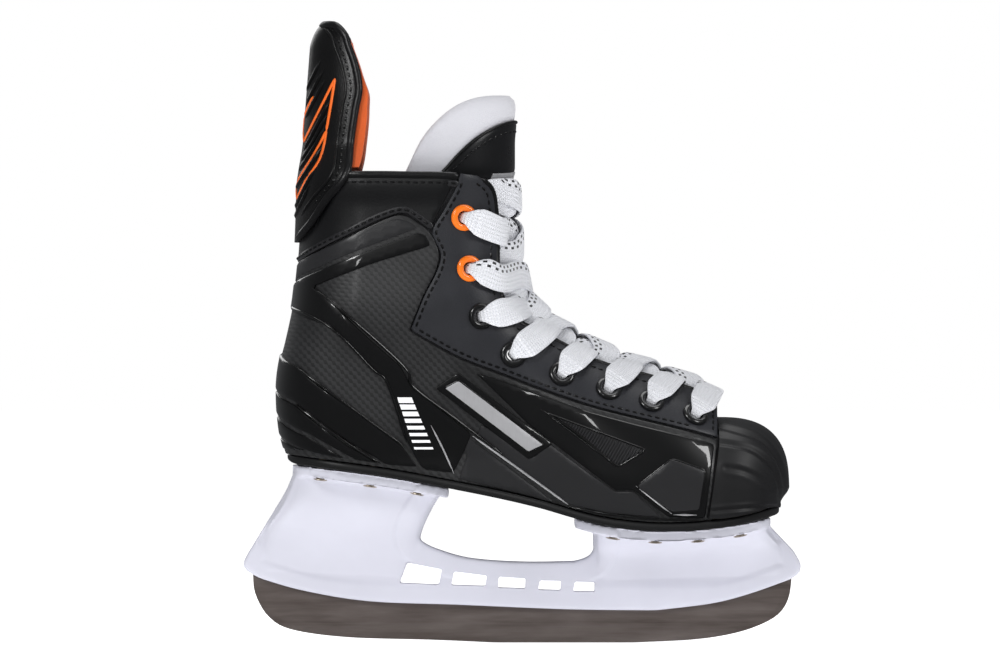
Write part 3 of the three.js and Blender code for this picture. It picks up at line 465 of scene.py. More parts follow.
soleLine = profile([
    [-106, 81], [-95, 79.7], [-58, 74.7], [-31, 69.6], [-10, 65.4], [8, 61.2],
    [24, 56.6], [38, 53.4], [55, 51.4], [70, 51.2], [84, 52.2], [98, 54.2], [112, 57.2],
])
backLine = profile([
    [80, -104.6], [92, -108.3], [104, -109.8], [116, -110], [126, -108.8], [136, -106.4],
    [150, -103.4], [165, -101.5], [180, -100.2], [200, -99.5], [225, -98.6], [250, -96.8], [271, -95.2],
])
footPlan = profile([
    [-110, 29.5], [-80, 30.5], [-45, 31], [-15, 34], [15, 39.5], [45, 44.5], [70, 46], [90, 44.8], [121, 42],
])
legPlan = profile([[84, 29.5], [105, 33], [130, 36.5], [150, 38.5], [170, 37.5], [190, 36.5], [212, 37]])
frontLine = respaced(smoothPath([
    [-3, 262], [-3, 225], [-2.6, 200], [-1.8, 182], [0.6, 166], [6.5, 153], [16, 144.3],
    [28, 137.4], [42, 130.8], [58, 125], [74, 119.3], [88, 112.6], [104, 103],
], 40), count=401)
frontRun = lengths(frontLine) / lengths(frontLine)[-1]
frontHeading = np.gradient(frontLine, axis=0)
frontHeading /= np.linalg.norm(frontHeading, axis=1)[:, None]
coarseFront = frontLine[::4]


def distanceTo(line, x, z, closed=False):
    p = np.asarray(line, float)
    q = np.roll(p, -1, 0) if closed else p[1:]
    p = p if closed else p[:-1]
    x, z = np.asarray(x, float), np.asarray(z, float)
    best = np.full(x.shape, 1e9)
    for a, b in zip(p, q):
        d = b - a
        size = max(float(d @ d), 1e-12)
        t = inRange(((x - a[0]) * d[0] + (z - a[1]) * d[1]) / size)
        best = np.minimum(best, np.hypot(x - a[0] - t * d[0], z - a[1] - t * d[1]))
    return best


def centreShift(x):
    return 3.5 * ease(x, -30, 110)


def rounding(t, power):
    t = inRange(t)
    return (1 - (1 - t) ** power) ** (1 / power)


def halfWidth(x, z, depth):
    rise = z - soleLine(x) - outsoleThickness
    foot = footPlan(x) * (0.94 + 0.06 * ease(rise, 0, 20))
    blend = ease(x, -40, 35)
    width = legPlan(z) * (1 - blend) + foot * blend - depth
    frontRadius = 30 + 12 * ease(x, 0, 60)
    front = rounding((distanceTo(coarseFront, x, z) - depth) / (frontRadius - depth), 2)
    back = rounding((x - backLine(z) - depth) / (heelRadius - depth), 2.15)
    return width * front * back


def fromBack(x, z):
    return x + (backLine(z) - heelX) * inRange(1 - (x - heelX) / heelBlend)


def straightX(x, z):
    # From the side view to the view with a straight heel, in which the boot's surface is drawn.
    d = backLine(z) - heelX
    s = (x - d * (1 + heelX / heelBlend)) / (1 - d / heelBlend)
    return np.maximum(np.where(s > heelX + heelBlend, x, s), heelX)


def straight(points):
    x, z = np.array(points, float).T
    return np.stack([straightX(x, z), z], 1)


def bootSurface(side):
    def at(x, z, depth):
        x, z, depth = np.broadcast_arrays(np.asarray(x, float), z, depth)
        px = fromBack(x, z) + depth * inRange(1 - (x - heelX) / heelRadius)
        y = np.maximum(halfWidth(px, z, depth), seam)
        return np.stack([px, centreShift(px) + side * y, z], -1)
    at.side = side
    return at


def normalsOn(surface, x, z, depth=0.0, step=0.6):
    x, z = np.asarray(x, float), np.asarray(z, float)
    along = surface(x + step, z, depth) - surface(np.maximum(x - step, heelX), z, depth)
    up = surface(x, z + step, depth) - surface(x, z - step, depth)
    n = np.cross(along, up) * -surface.side
    return n / np.maximum(np.linalg.norm(n, axis=-1, keepdims=True), 1e-9)


def unit(v):
    return v / np.maximum(np.linalg.norm(v, axis=-1, keepdims=True), 1e-9)


class Shape:
    # Collects closed shells, with one finish for each face, and turns them into an object.
    def __init__(self, name):
        self.name = name
        self.points = []
        self.faces = []
        self.tones = []
        self.uvs = []
        self.total = 0

    def put(self, points, faces, finish, uv=None):
        # Adds a closed shell. One that would be inside out is turned.
        points = np.asarray(points, float)
        volume = 0.0
        for size in (3, 4):
            f = np.array([face for face in faces if len(face) == size], int)
            if len(f):
                for k in range(1, size - 1):
                    a, b, c = points[f[:, 0]], points[f[:, k]], points[f[:, k + 1]]
                    volume += float(np.einsum("ij,ij->i", a, np.cross(b, c)).sum())
        if volume < 0:
            faces = [tuple(reversed(face)) for face in faces]
        self.faces += [tuple(i + self.total for i in face) for face in faces]
        self.tones += [finish] * len(faces)
        self.points.append(points)
        self.uvs.append(np.zeros((len(points), 2)) if uv is None else uv)
        self.total += len(points)

    def mesh(self):
        mesh = bpy.data.meshes.new(self.name)
        points = np.vstack(self.points) * metresPerMm
        mesh.from_pydata(points.tolist(), [], [tuple(int(i) for i in face) for face in self.faces])
        return mesh

    def make(self, nodes, slotName, body="boot", sharp=38, between=None):
        # The piece stands for the named nodes. It rides on one body, or, when a bend is given, stays where it is
        # on no body.
        mesh = self.mesh()
        used = list(dict.fromkeys(self.tones))
        for key in used:
            mesh.materials.append(finishes[key])
        mesh.polygons.foreach_set("material_index", [used.index(key) for key in self.tones])
        flat = np.vstack(self.uvs)
        if np.any(flat):
            layer = mesh.uv_layers.new(name="UVMap")
            corners = np.zeros(len(mesh.loops), int)
            mesh.loops.foreach_get("vertex_index", corners)
            layer.data.foreach_set("uv", flat[corners].ravel())
        mesh.validate()
        mesh.shade_smooth()
        mesh.set_sharp_from_angle(angle=radians(sharp))
        piece = addToScene(self.name, mesh)
        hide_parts(*nodes)
        if between:
            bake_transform(piece)
        else:
            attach(piece, body)
        return piece


def gridFaces(rows, cols, start=0, wrap=False):
    faces = []
    for i in range(rows - 1):
        for j in range(cols if wrap else cols - 1):
            k = (j + 1) % cols
            faces.append((start + i * cols + j, start + i * cols + k, start + (i + 1) * cols + k,
                          start + (i + 1) * cols + j))
    return faces


def putShell(shape, outer, inner, finish):
    # Closes the space between two grids of the same size.
    rows, cols = outer.shape[:2]
    n = rows * cols
    points = np.vstack([outer.reshape(-1, 3), inner.reshape(-1, 3)])
    faces = gridFaces(rows, cols)
    faces += [tuple(reversed(f)) for f in gridFaces(rows, cols, n)]
    rim = ([(0, j) for j in range(cols - 1)] + [(i, cols - 1) for i in range(rows - 1)]
           + [(rows - 1, j) for j in range(cols - 1, 0, -1)] + [(i, 0) for i in range(rows - 1, 0, -1)])
    marks = [i * cols + j for i, j in rim]
    for a, b in zip(marks, marks[1:] + marks[:1]):
        faces.append((b, a, a + n, b + n))
    shape.put(points, faces, finish)


def putLoft(shape, rings, finish, uv=None):
    # A closed solid through rings of points, with its ends closed from their middle points.
    rings = np.asarray(rings, float)
    n, m = rings.shape[:2]
    points = np.vstack([rings.reshape(-1, 3), rings[0].mean(0), rings[-1].mean(0)])
    faces = gridFaces(n, m, wrap=True)
    for j in range(m):
        k = (j + 1) % m
        faces.append((n * m, k, j))
        faces.append((n * m + 1, (n - 1) * m + j, (n - 1) * m + k))
    if uv is not None:
        uv = np.vstack([uv.reshape(-1, 2), uv[0].mean(0), uv[-1].mean(0)])
    shape.put(points, faces, finish, uv)


def putTurned(shape, pairs, origin, axis, finish, segments=32):
    # A lathed piece from (radius, height) pairs. A line that starts and ends on the axis closes itself.
    axis = unit(np.asarray(axis, float))
    side = unit(np.cross(axis, [0.3, 0.1, 1] if abs(axis[2]) < 0.9 else [1, 0, 0]))
    third = np.cross(axis, side)
    turns = np.linspace(0, 2 * pi, segments, endpoint=False)
    points, faces, rings = [], [], []
    for r, h in pairs:
        if r <= 0:
            rings.append([len(points)])
            points.append(origin + axis * h)
        else:
            rings.append(list(range(len(points), len(points) + segments)))
            points += [origin + axis * h + r * (cos(t) * side + sin(t) * third) for t in turns]
    closed = pairs[0][0] > 0
    for a, b in list(zip(rings, rings[1:])) + ([(rings[-1], rings[0])] if closed else []):
        for j in range(segments):
            k = (j + 1) % segments
            if len(a) == 1:
                faces.append((a[0], b[j], b[k]))
            elif len(b) == 1:
                faces.append((a[j], b[0], a[k]))
            else:
                faces.append((a[j], b[j], b[k], a[k]))
    shape.put(np.array(points), faces, finish)


def unroll(x):
    # The flat plan of a patch unrolls the heel's curve, so that its points stay evenly spread there.
    x = np.asarray(x, float)
    t = np.clip((heelX + heelRadius - x) / heelRadius, 0, 1)
    return np.where(x < heelX + heelRadius, heelX + heelRadius - heelRadius * np.arcsin(t), x)


def rollUp(a):
    t = np.clip((heelX + heelRadius - a) / heelRadius, 0, pi / 2)
    return np.where(a < heelX + heelRadius, heelX + heelRadius - heelRadius * np.sin(t), a)


def insideOf(line, a, z):
    # Counts how often a level line from each point crosses the outline.
    inside = np.zeros(np.shape(a), bool)
    p = np.asarray(line)
    for (x0, z0), (x1, z1) in zip(p, np.roll(p, -1, 0)):
        if z0 == z1:
            continue
        crosses = ((z0 > z) != (z1 > z)) & (a < (x1 - x0) * (z - z0) / (z1 - z0) + x0)
        inside ^= crosses
    return inside


def spreadAlong(line, spacing):
    # Points at even distances on a closed outline. One with few points keeps its corners.
    if len(line) > 40:
        return respaced(np.vstack([line, line[0]]), spacing * 0.9)[:-1]
    stretches = []
    for a, b in zip(line, np.roll(line, -1, 0)):
        steps = max(1, int(np.ceil(np.linalg.norm(b - a) / spacing)))
        stretches.append(a + (b - a) * np.linspace(0, 1, steps, endpoint=False)[:, None])
    return np.vstack(stretches)


def patchPlan(outline, spacing, insets, holes=()):
    # Triangulates an outline of (x, z) points, with rings of points close to its rims.
    loops = []
    for line in (outline, *holes):
        x, z = np.asarray(line, float).T
        loops.append(spreadAlong(np.stack([unroll(x), z], 1), spacing))
    rim, cuts = loops[0], loops[1:]
    points = list(loops)

    def rimDistance(a, z):
        return np.min([distanceTo(loop, a, z, True) for loop in loops], axis=0)

    def within(a, z):
        inside = insideOf(rim, a, z)
        for cut in cuts:
            inside &= ~insideOf(cut, a, z)
        return inside

    for loop in loops:
        heading = np.roll(loop, -1, 0) - np.roll(loop, 1, 0)
        turned = unit(np.stack([-heading[:, 1], heading[:, 0]], 1))
        for inset in insets:
            for sign in (1, -1):
                ring = loop + turned * inset * sign
                ring = ring[within(*ring.T)]
                points.append(ring[rimDistance(*ring.T) > inset * 0.85])
    low, high = rim.min(0), rim.max(0)
    grid = np.meshgrid(*(np.arange(low[k], high[k], spacing) for k in (0, 1)))
    grid = np.stack(grid, -1).reshape(-1, 2)
    grid = grid[within(*grid.T)]
    points.append(grid[rimDistance(*grid.T) > max(insets) + spacing * 0.45])
    edges, start = [], 0
    for loop in loops:
        n = len(loop)
        edges += [(start + i, start + (i + 1) % n) for i in range(n)]
        start += n
    found = delaunay_2d_cdt([Vector(p) for p in np.vstack(points)], edges, [], 1, 1e-4)
    where = np.array([tuple(v) for v in found[0]])
    triangles = np.array([f for f in found[2] if len(f) == 3], int)
    triangles = triangles[within(*where[triangles].mean(1).T)]
    used = np.unique(triangles)
    number = np.zeros(len(where), int)
    number[used] = np.arange(len(used))
    where, triangles = where[used], number[triangles]
    return rollUp(where[:, 0]), where[:, 1], triangles, rimDistance(*where.T)


def rimDrop(distance, radius):
    # How far a rounded rim falls at a distance from its edge.
    t = inRange(distance / radius)
    return radius * (1 - np.sqrt(np.maximum(1 - (1 - t) ** 2, 0)))


def putPlate(shape, front, back, triangles, finish):
    # Two copies of a triangulated outline, with walls between their open edges.
    n = len(front)
    edges = dict.fromkeys(edge for a, b, c in triangles for edge in ((a, b), (b, c), (c, a)))
    rims = [(a, b) for a, b in edges if (b, a) not in edges]
    faces = [tuple(t) for t in triangles] + [(c + n, b + n, a + n) for a, b, c in triangles]
    faces += [(b, a, a + n, b + n) for a, b in rims]
    shape.put(np.vstack([front, back]), faces, finish)


def putPatch(shape, surface, outline, depths, finish, spacing=2.0, radius=0.5, holes=(), relief=None):
    # A plate that follows a surface between two depths, with its outer rim rounded.
    shares = (0.35, 0.9) if radius < 1 else (0.15, 0.45, 0.9)
    x, z, triangles, distance = patchPlan(outline, spacing, [radius * share for share in shares], holes)
    outerDepth = depths[0] + rimDrop(distance, radius)
    if relief is not None:
        outerDepth = outerDepth - relief(z) * ease(distance, 0, 2)
    putPlate(shape, surface(x, z, outerDepth), surface(x, z, np.full_like(x, depths[1])), triangles, finish)


def crossSection(kind, width, height):
    half, root = width / 2, -0.5
    if kind == "flat":
        return [(half, root), (half, height * 0.6), (width * 0.38, height), (-width * 0.38, height),
                (-half, height * 0.6), (-half, root)]
    arch = [(cos(t) * half, sin(t) * height) for t in np.linspace(0, pi, 7)]
    return arch + [(-half, root), (half, root)]


def putBead(shape, surface, line, width, height, finish, depth, kind="round", taper=0.02, step=1.2):
    # A raised line that follows a surface and gets thinner within the taper's length of its ends.
    x, z = respaced(line, step).T
    spots = surface(x, z, np.full_like(x, depth))
    ups = normalsOn(surface, x, z, depth)
    sideways = unit(np.cross(ups, unit(np.gradient(spots, axis=0))))
    run = lengths(spots)
    shares = 0.25 + 0.75 * ease(np.minimum(run, run[-1] - run), -0.01, taper)
    section = crossSection(kind, width, height)
    rings = []
    for spot, up, across, share in zip(spots, ups, sideways, shares):
        rings.append([spot + across * w * share + up * h * (share if h > 0 else 1) for w, h in section])
    putLoft(shape, rings, finish)


# A stitch is a capsule of five rings, with their places along it, girths and lifts.
bootStitch = {"pitch": 3.4, "first": 1.02, "length": 2.5, "width": 1.05, "height": 0.85,
              "along": (0, 0.12, 0.5, 0.88, 1), "girth": (0.35, 0.85, 1, 0.85, 0.35),
              "lift": (-0.2125, 0.0425, 0.17, 0.0425, -0.2125)}


def putStitchRow(shape, line, normals, stitch):
    # One closed capsule for each stitch along a line in space.
    run = lengths(line)
    turns = np.linspace(0, 2 * pi, 6, endpoint=False)
    for k in range(int(run[-1] // stitch["pitch"])):
        places = k * stitch["pitch"] + stitch["first"] + np.array(stitch["along"]) * stitch["length"]
        if places[-1] > run[-1]:
            break
        spots, ups = (np.stack([np.interp(places, run, values[:, i]) for i in range(3)], 1)
                      for values in (line, normals))
        ups = unit(ups)
        sideways = unit(np.cross(ups, unit(spots[-1] - spots[0])))
        rings = []
        for spot, up, across, girth, lift in zip(spots, ups, sideways, stitch["girth"], stitch["lift"]):
            wide, tall = stitch["width"] / 2 * girth, stitch["height"] / 2 * girth
            rings.append([spot + across * cos(t) * wide + up * (sin(t) * tall + lift) for t in turns])
        putLoft(shape, rings, "thread")


def putStitches(shape, surface, line, depth):
    # A row of stitches along a line drawn on a surface.
    x, z = respaced(line, 0.4).T
    spots = surface(x, z, np.full_like(x, depth))
    putStitchRow(shape, spots, normalsOn(surface, x, z, depth), bootStitch)


print("tools ready")


# Side panels

def onSole(x, rise):
    x = np.asarray(x, float)
    return np.stack([x, soleLine(fromBack(x, 85)) + rise], -1)


frameTop = [[-105, 170], [-103.2, 171.1], [-98, 173.9], [-90, 177.8], [-78, 183], [-66, 188.4], [-55, 191.7],
            [-47, 188.3], [-40.8, 183.4], [-37.1, 174.6], [-38.8, 166.2], [-44.3, 155.2], [-50.3, 140.4]]
frameTopFront = [[-50.3, 140.4], [-41.5, 134.9], [-26.9, 127.2], [-8, 120], [8.3, 113.8], [29, 106.7],
                 [49.8, 101.3], [70, 96.4], [86.9, 91.5]]
eyestayRear = [[-27.5, 210.2], [-29.6, 203.4], [-35, 193.5], [-40, 184], [-36.3, 174.6], [-38, 166.5],
               [-43.5, 155.7], [-49.5, 140.8]]
eyestayFoot = [[-49.5, 140.8], [-41.2, 135.9], [-26.6, 128.2], [-7.7, 121], [8.6, 114.8], [29.3, 107.7],
               [50, 102.3], [70.2, 97.4], [86.9, 92.9]]
eyestayFront = [[87.3, 108.9], [75.3, 114.7], [59.9, 119.5], [43.2, 123.8], [31, 127.8], [22.5, 132.3],
                [13, 137.3], [5, 141.3], [-3.2, 145.8], [-8.1, 153.9], [-10.8, 163.8], [-10.8, 172.8],
                [-10.8, 182.7], [-11.3, 193], [-13.3, 203.4], [-19.8, 209.3]]
collarFoot = [[-105, 170.8], [-103.2, 171.9], [-98, 174.7], [-90, 178.6], [-78, 183.9], [-65.3, 189.5],
              [-54, 192.6], [-47, 189.3], [-41, 184.9]]
collarTop = [[-28.3, 210.2], [-38.5, 210.7], [-50, 210.8], [-62, 211], [-77, 211], [-90, 210.8],
             [-98, 210.8], [-105, 210.8]]
eyelets = {
    "places": [[-25.9, 190.5], [-23.4, 167.9], [-18.1, 146.6], [-4, 129.6],
               [17.7, 121.0], [38.4, 114.4], [57.5, 108.9], [77.1, 102.9]],
    "hole": 2.9, "flange": 5.9, "rise": 1.25, "reach": 4.4, "bore": 3.7,
}
frameRelief = {"plate": 0.85, "spacing": 2.0, "rim": 0.7, "base": 0.2}

# Plates: finish, share of the relief, corners.
framePlates = [
    ("gloss", 1, [[-106, 160], [-97, 164.3], [-89.7, 167.3], [-66, 176.8], [-46, 184], [-42.2, 182.2],
                     [-40.6, 178], [-66, 170.3], [-93.2, 159.7], [-83.7, 151.9], [-53.6, 124.2],
                     [-48.9, 114.7], [-31.2, 101.2], [-22.4, 94.2], [-26, 86], [-30.8, 76.9],
                     [-44.5, 78.6], [-51.0, 89.8], [-60, 117.2], [-66.5, 123.6], [-85, 142.2], [-106, 151.6]]),
    ("gloss", 1, [[-112, 131], [-100.5, 124.3], [-76, 105.6], [-53.4, 88.8], [-46.5, 79.6],
                     [-60.5, 80.6], [-77.2, 90.6], [-100.5, 107.9], [-112, 115.8]]),
    ("gloss", 0.9, [[-112, 114.6], [-100.5, 106.5], [-77.6, 88.9], [-64, 81.2], [-74, 82.6],
                           [-93.6, 93.5], [-112, 105]]),
    ("gloss", 0.8, [[-112, 103.4], [-93.6, 91.6], [-79, 83.4], [-92, 85.2], [-112, 95]]),
    ("gloss", 0.6, [[-112, 93], [-96, 86.6], [-112, 87.4]]),
    ("gloss", 1, [[-21.5, 122.0], [-7.7, 117.6], [8.6, 111.5], [29.3, 104.4], [50, 98.9], [70.2, 94.0],
                     [85.4, 90.0], [84, 79], [81.2, 56.8], [64.4, 57.6], [49.2, 69.6], [41.5, 69.2],
                     [31.5, 76.6], [2, 99.2], [-6, 107.2]]),
    ("satin", 0.75, [[-20.4, 93.4], [18.8, 63.8], [36, 59.2], [62, 57.2], [49.4, 69.0], [41.5, 68.8],
                            [31.0, 76.2], [12.2, 90.2], [4.6, 83.6], [-18, 98.6]]),
    ("satin", 0.5, [[-28.6, 92.8], [-23, 92.4], [16.2, 62.8], [3.4, 66.4], [-28.4, 74.2],
                           [-24.6, 84.8]]),
]
plateAbove = [[-106, 161.8], [-97, 166], [-89.7, 169], [-66, 178.6], [-46, 186], [-49, 188], [-55, 190],
         [-66, 186.6], [-78, 181.2], [-90, 176], [-98, 172.2], [-106, 168.6]]
plateFive = [[50.6, 71.2], [66.3, 83.4], [81.2, 78.4], [78.6, 60.6], [66.6, 59.6]]
ribbedWindow = [[10.0, 104.0], [55.0, 87.4], [42.4, 79.8]]
# Ridges: points, width, height, finish. The silver lines are bright strips put where the glossy ridges catch
# highlights: painted highlights.
frameRidges = [
    ([[-93.2, 159.3], [-83.7, 152.3], [-53.1, 124.8], [-48.4, 115.2], [-30.7, 101.8], [-8, 84.6]],
     1.1, 0.7, "gloss"),
    ([[-22.1, 93.4], [0, 77.6], [20.3, 63.0]], 0.8, 0.6, "silverAndHighlight"),
    ([[-40.6, 98.1], [-35, 87], [-30.4, 76.5]], 0.7, 0.6, "silverAndHighlight"),
    ([[-104, 151.2], [-85, 141.6], [-66.5, 123.0], [-60, 116.6], [-51.6, 90.4]], 0.9, 0.5, "gloss"),
    ([[-101, 124.6], [-76, 105.8], [-52.6, 88.8]], 0.9, 0.5, "gloss"),
    ([[-100.5, 107.2], [-77.2, 89.8], [-63, 81]], 1.0, 0.6, "gloss"),
    ([[67, 58.6], [77.4, 58.4]], 0.9, 0.7, "silverAndHighlight"),
    ([[50.4, 71.4], [66.4, 58.9]], 0.7, 1.0, "silverAndHighlight"),
    ([[8, 105.4], [24, 95], [42.2, 79.4]], 1.0, 0.7, "gloss"),
    ([[20.6, 61.9], [40, 58.6], [59.4, 56.5], [81.4, 56.2]], 0.9, 0.5, "gloss"),
]
# The white bars shrink and move from the first to the last.
frameBars = {"count": 8, "z": (110.6, 88.4), "tall": (2.5, 1.0), "left": (-55.6, -48.3),
             "right": (-49.2, -39.9)}


def bootHole(surface, place, radius):
    # The side view of a round hole square to the surface.
    x, z = place
    spot = surface(x, z, 0.0)
    n = normalsOn(surface, x, z, 0.0, 2)
    side = unit(np.cross(n, [0, 0, 1]))
    up = np.cross(side, n)
    turns = np.linspace(0, 2 * pi, 24, endpoint=False)
    ring = spot + radius * (np.cos(turns)[:, None] * side + np.sin(turns)[:, None] * up)
    return ring[:, [0, 2]]


def movedIn(line, distance):
    # A line drawn beside another one.
    heading = np.gradient(np.asarray(line, float), axis=0)
    side = unit(np.stack([-heading[:, 1], heading[:, 0]], 1))
    return line + side * distance


def sideFrame(name, side):
    surface = bootSurface(side)
    shape = Shape("sideFrame" + name.title())
    foot = onSole(np.linspace(-105, 82.2, 60), feather)
    outline = np.vstack([foot, [[82.2, foot[-1][1]]], smoothPath(frameTopFront[::-1], 5)[:-1],
                         smoothPath(frameTop[::-1], 5)])
    outline = outline[np.concatenate([[True], np.linalg.norm(np.diff(outline, axis=0), axis=1) > 0.05])]
    putPatch(shape, surface, outline, [0, 1.3], "carbon", spacing=1.7, radius=0.5)
    lift = -frameRelief["plate"]
    for finish, share, corners in framePlates:
        rim = straight(softCorners(corners, 1.6))
        putPatch(shape, surface, rim, [lift * share, 0.6], finish, frameRelief["spacing"], frameRelief["rim"])
    putPatch(shape, surface, straight(softCorners(plateAbove, 1)), [-0.25, 0.6], "satin", 2.4, 0.25)
    putBead(shape, surface, [[82.6, 56], [84.4, 74], [87, 94]], 4.5, 0.2, "satin", 1.7, "flat")
    # The raised five-sided plate, and the ribbed window behind it
    base = frameRelief["base"]
    putPatch(shape, surface, straight(softCorners(plateFive, 1.2)), [lift - 0.9, base], "satin", 2.0, 0.8)
    window = straight(softCorners(ribbedWindow, 1.6))
    putPatch(shape, surface, window, [lift - 0.12, base], "ribbed", 1.4, 0.3)
    for corners in (plateFive, ribbedWindow):
        rim = straight(softCorners(corners, 2, 8))
        putBead(shape, surface, np.vstack([rim, rim[0]]), 0.9, 0.5, "gloss", lift - 0.2, step=0.8)
    # The silver ridges are bright lines that stand in for highlights on the ridges: painted highlights.
    for points, width, height, finish in frameRidges:
        line = straight(smoothPath(points, 6))
        putBead(shape, surface, line, width * 1.2, height * 1.3, finish, lift + 0.1, taper=6)
    count = frameBars["count"]
    for t in np.arange(count) / (count - 1):
        ranges = [frameBars[key] for key in ("z", "tall", "left", "right")]
        z, tall, left, right = (first + (last - first) * t for first, last in ranges)
        bar = [[left, z], [right, z], [right + tall * 0.4, z - tall], [left + tall * 0.3, z - tall]]
        putPatch(shape, surface, straight(bar), [lift - 0.12, base], "mark", 2.0, 0.08)
    return shape.make([f"side_frame_{name}"], "frame_plastic")


def softCorners(corners, radius, steps=4):
    # An outline with its corners rounded.
    p = np.array(corners, float)
    out = []
    for before, here, after in zip(np.roll(p, 1, 0), p, np.roll(p, -1, 0)):
        a, b = before - here, after - here
        cut = min(radius, np.linalg.norm(a) * 0.4, np.linalg.norm(b) * 0.4)
        start, end = here + unit(a) * cut, here + unit(b) * cut
        for t in np.linspace(0, 1, steps):
            out.append(start * (1 - t) ** 2 + here * 2 * t * (1 - t) + end * t * t)
    return np.array(out)


def collar(name, side):
    surface = bootSurface(side)
    shape = Shape("collar" + name.title())
    rim = smoothPath(collarTop, 4)
    outline = np.vstack([smoothPath(collarFoot, 5), rim])

    def puff(z):
        return 0.7 * ease(z, 196, 204) * (1 - ease(z, 207, 211))

    putPatch(shape, surface, outline, [0, 1.3], "collar", spacing=2.4, radius=0.6, relief=puff)
    putBead(shape, surface, rim - [0, 1.5], 3.6, 1.0, "binding", 0.1)
    foot = movedIn(smoothPath(collarFoot, 8), 1.6)[2:]
    # Each row of stitches lies on a low bead of lighter leather; its lighter tone is a painted highlight.
    for line, depth in ((rim - [0, 4.6], -0.35), (foot, 0.1)):
        putBead(shape, surface, line, 2.8, 0.35, "seamSheenBand", depth)
        putStitches(shape, surface, line, depth - 0.3)
    return shape.make([f"collar_{name}"], "collar_leather")


def eyestay(name, side):
    surface = bootSurface(side)
    shape = Shape("eyestay" + name.title())
    rear, foot, front = (smoothPath(p, 6) for p in (eyestayRear, eyestayFoot, eyestayFront))
    outline = np.vstack([rear[:-1], foot, front])
    holes = [bootHole(surface, place, eyelets["bore"]) for place in eyelets["places"]]
    putPatch(shape, surface, outline, [0, 1.3], "eyestay", spacing=2.0, radius=0.6, holes=holes)
    putBead(shape, surface, front[:-2], 2.4, 0.6, "binding", 0.15, taper=1)
    for line in (movedIn(rear, 1.7)[3:], movedIn(foot, 1.7)[2:-4], movedIn(front, 3.1)[8:]):
        putStitches(shape, surface, line, 0.05)
    putStitches(shape, surface, [[85, 95], [85.4, 108]], 0.05)
    return shape.make([f"eyestay_{name}"], "eyestay_leather")


def quarter(name, side):
    surface = bootSurface(side)
    shape = Shape("quarter" + name.title())
    top = [[-105, 209.3], [-90, 209.3], [-58, 209.3], [-40, 209.1], [-23, 207.1], [-15.7, 200], [-13.2, 187],
           [-13, 172], [-12.2, 160], [-7.2, 148.5], [4, 139.4], [17, 133], [31, 125.6], [46, 120.4], [62, 115.4],
           [85.6, 105.6]]
    foot = onSole(np.linspace(-105, 81.4, 50), feather + 0.8)
    outline = np.vstack([foot, smoothPath(top, 5)[::-1]])
    holes = [bootHole(surface, place, eyelets["bore"]) for place in eyelets["places"]]
    putPatch(shape, surface, outline, [2.1, 3.4], "quarter", spacing=3.2, radius=0.3, holes=holes)
    return shape.make([f"quarter_{name}"], "quarter_shell")


def badge(name, side):
    surface = bootSurface(side)
    shape = Shape("badge" + name.title())
    face = [[-34.6, 114.7], [-28.3, 118.1], [9.6, 89.5], [2.7, 86.3]]
    rim = [[-38.6, 114.6], [-28.6, 121.6], [13.8, 89.9], [3.0, 82.6]]
    putPatch(shape, surface, straight(softCorners(rim, 1.6)), [-0.95, -0.1], "gloss", 2.0, 0.5)
    putPatch(shape, surface, straight(softCorners(face, 0.6)), [-1.45, -0.6], "silverAndHighlight", 2.0, 0.3)
    edge = straight(softCorners(face, 0.8))
    putBead(shape, surface, np.vstack([edge, edge[0]]), 0.7, 0.35, "gloss", -1.2, step=0.8)
    return shape.make([f"badge_{name}"], "badge_plate")


for sideName, sideSign in sides.items():
    sideFrame(sideName, sideSign)
    collar(sideName, sideSign)
    eyestay(sideName, sideSign)
    quarter(sideName, sideSign)
    badge(sideName, sideSign)
print("side panels made")


# Eyelets

def eyeletRings():
    e = eyelets
    groups = {"orange": Shape("eyeletsOrange"), "black": Shape("eyeletsBlack")}
    used = {"orange": [], "black": []}
    middle, half = (e["flange"] + e["hole"]) / 2, (e["flange"] - e["hole"]) / 2
    crown = [(middle + cos(t) * half, sin(t) * e["rise"] + 0.15) for t in np.linspace(0, pi, 9)]
    tube = e["hole"] + 0.45
    pairs = [(e["flange"], -0.1), *crown, (e["hole"], -e["reach"]), (tube, -e["reach"]), (tube, -0.1)]
    for name, side in sides.items():
        surface = bootSurface(side)
        for i, (x, z) in enumerate(e["places"]):
            key = "orange" if i < 2 else "black"
            spot = surface(x, z, 0.0)
            axis = normalsOn(surface, x, z, 0.0, 2)
            putTurned(groups[key], pairs, spot, axis, key + "Eyelet", 36)
            used[key].append(f"eyelet_{name}_{i + 1}")
    for key, shape in groups.items():
        shape.make(used[key], "eyelet_" + key, sharp=50)


eyeletRings()


# Ankle padding

padding = {"depths": (4.5, 8.3), "foot": 111, "top": 210.6, "front": -47}


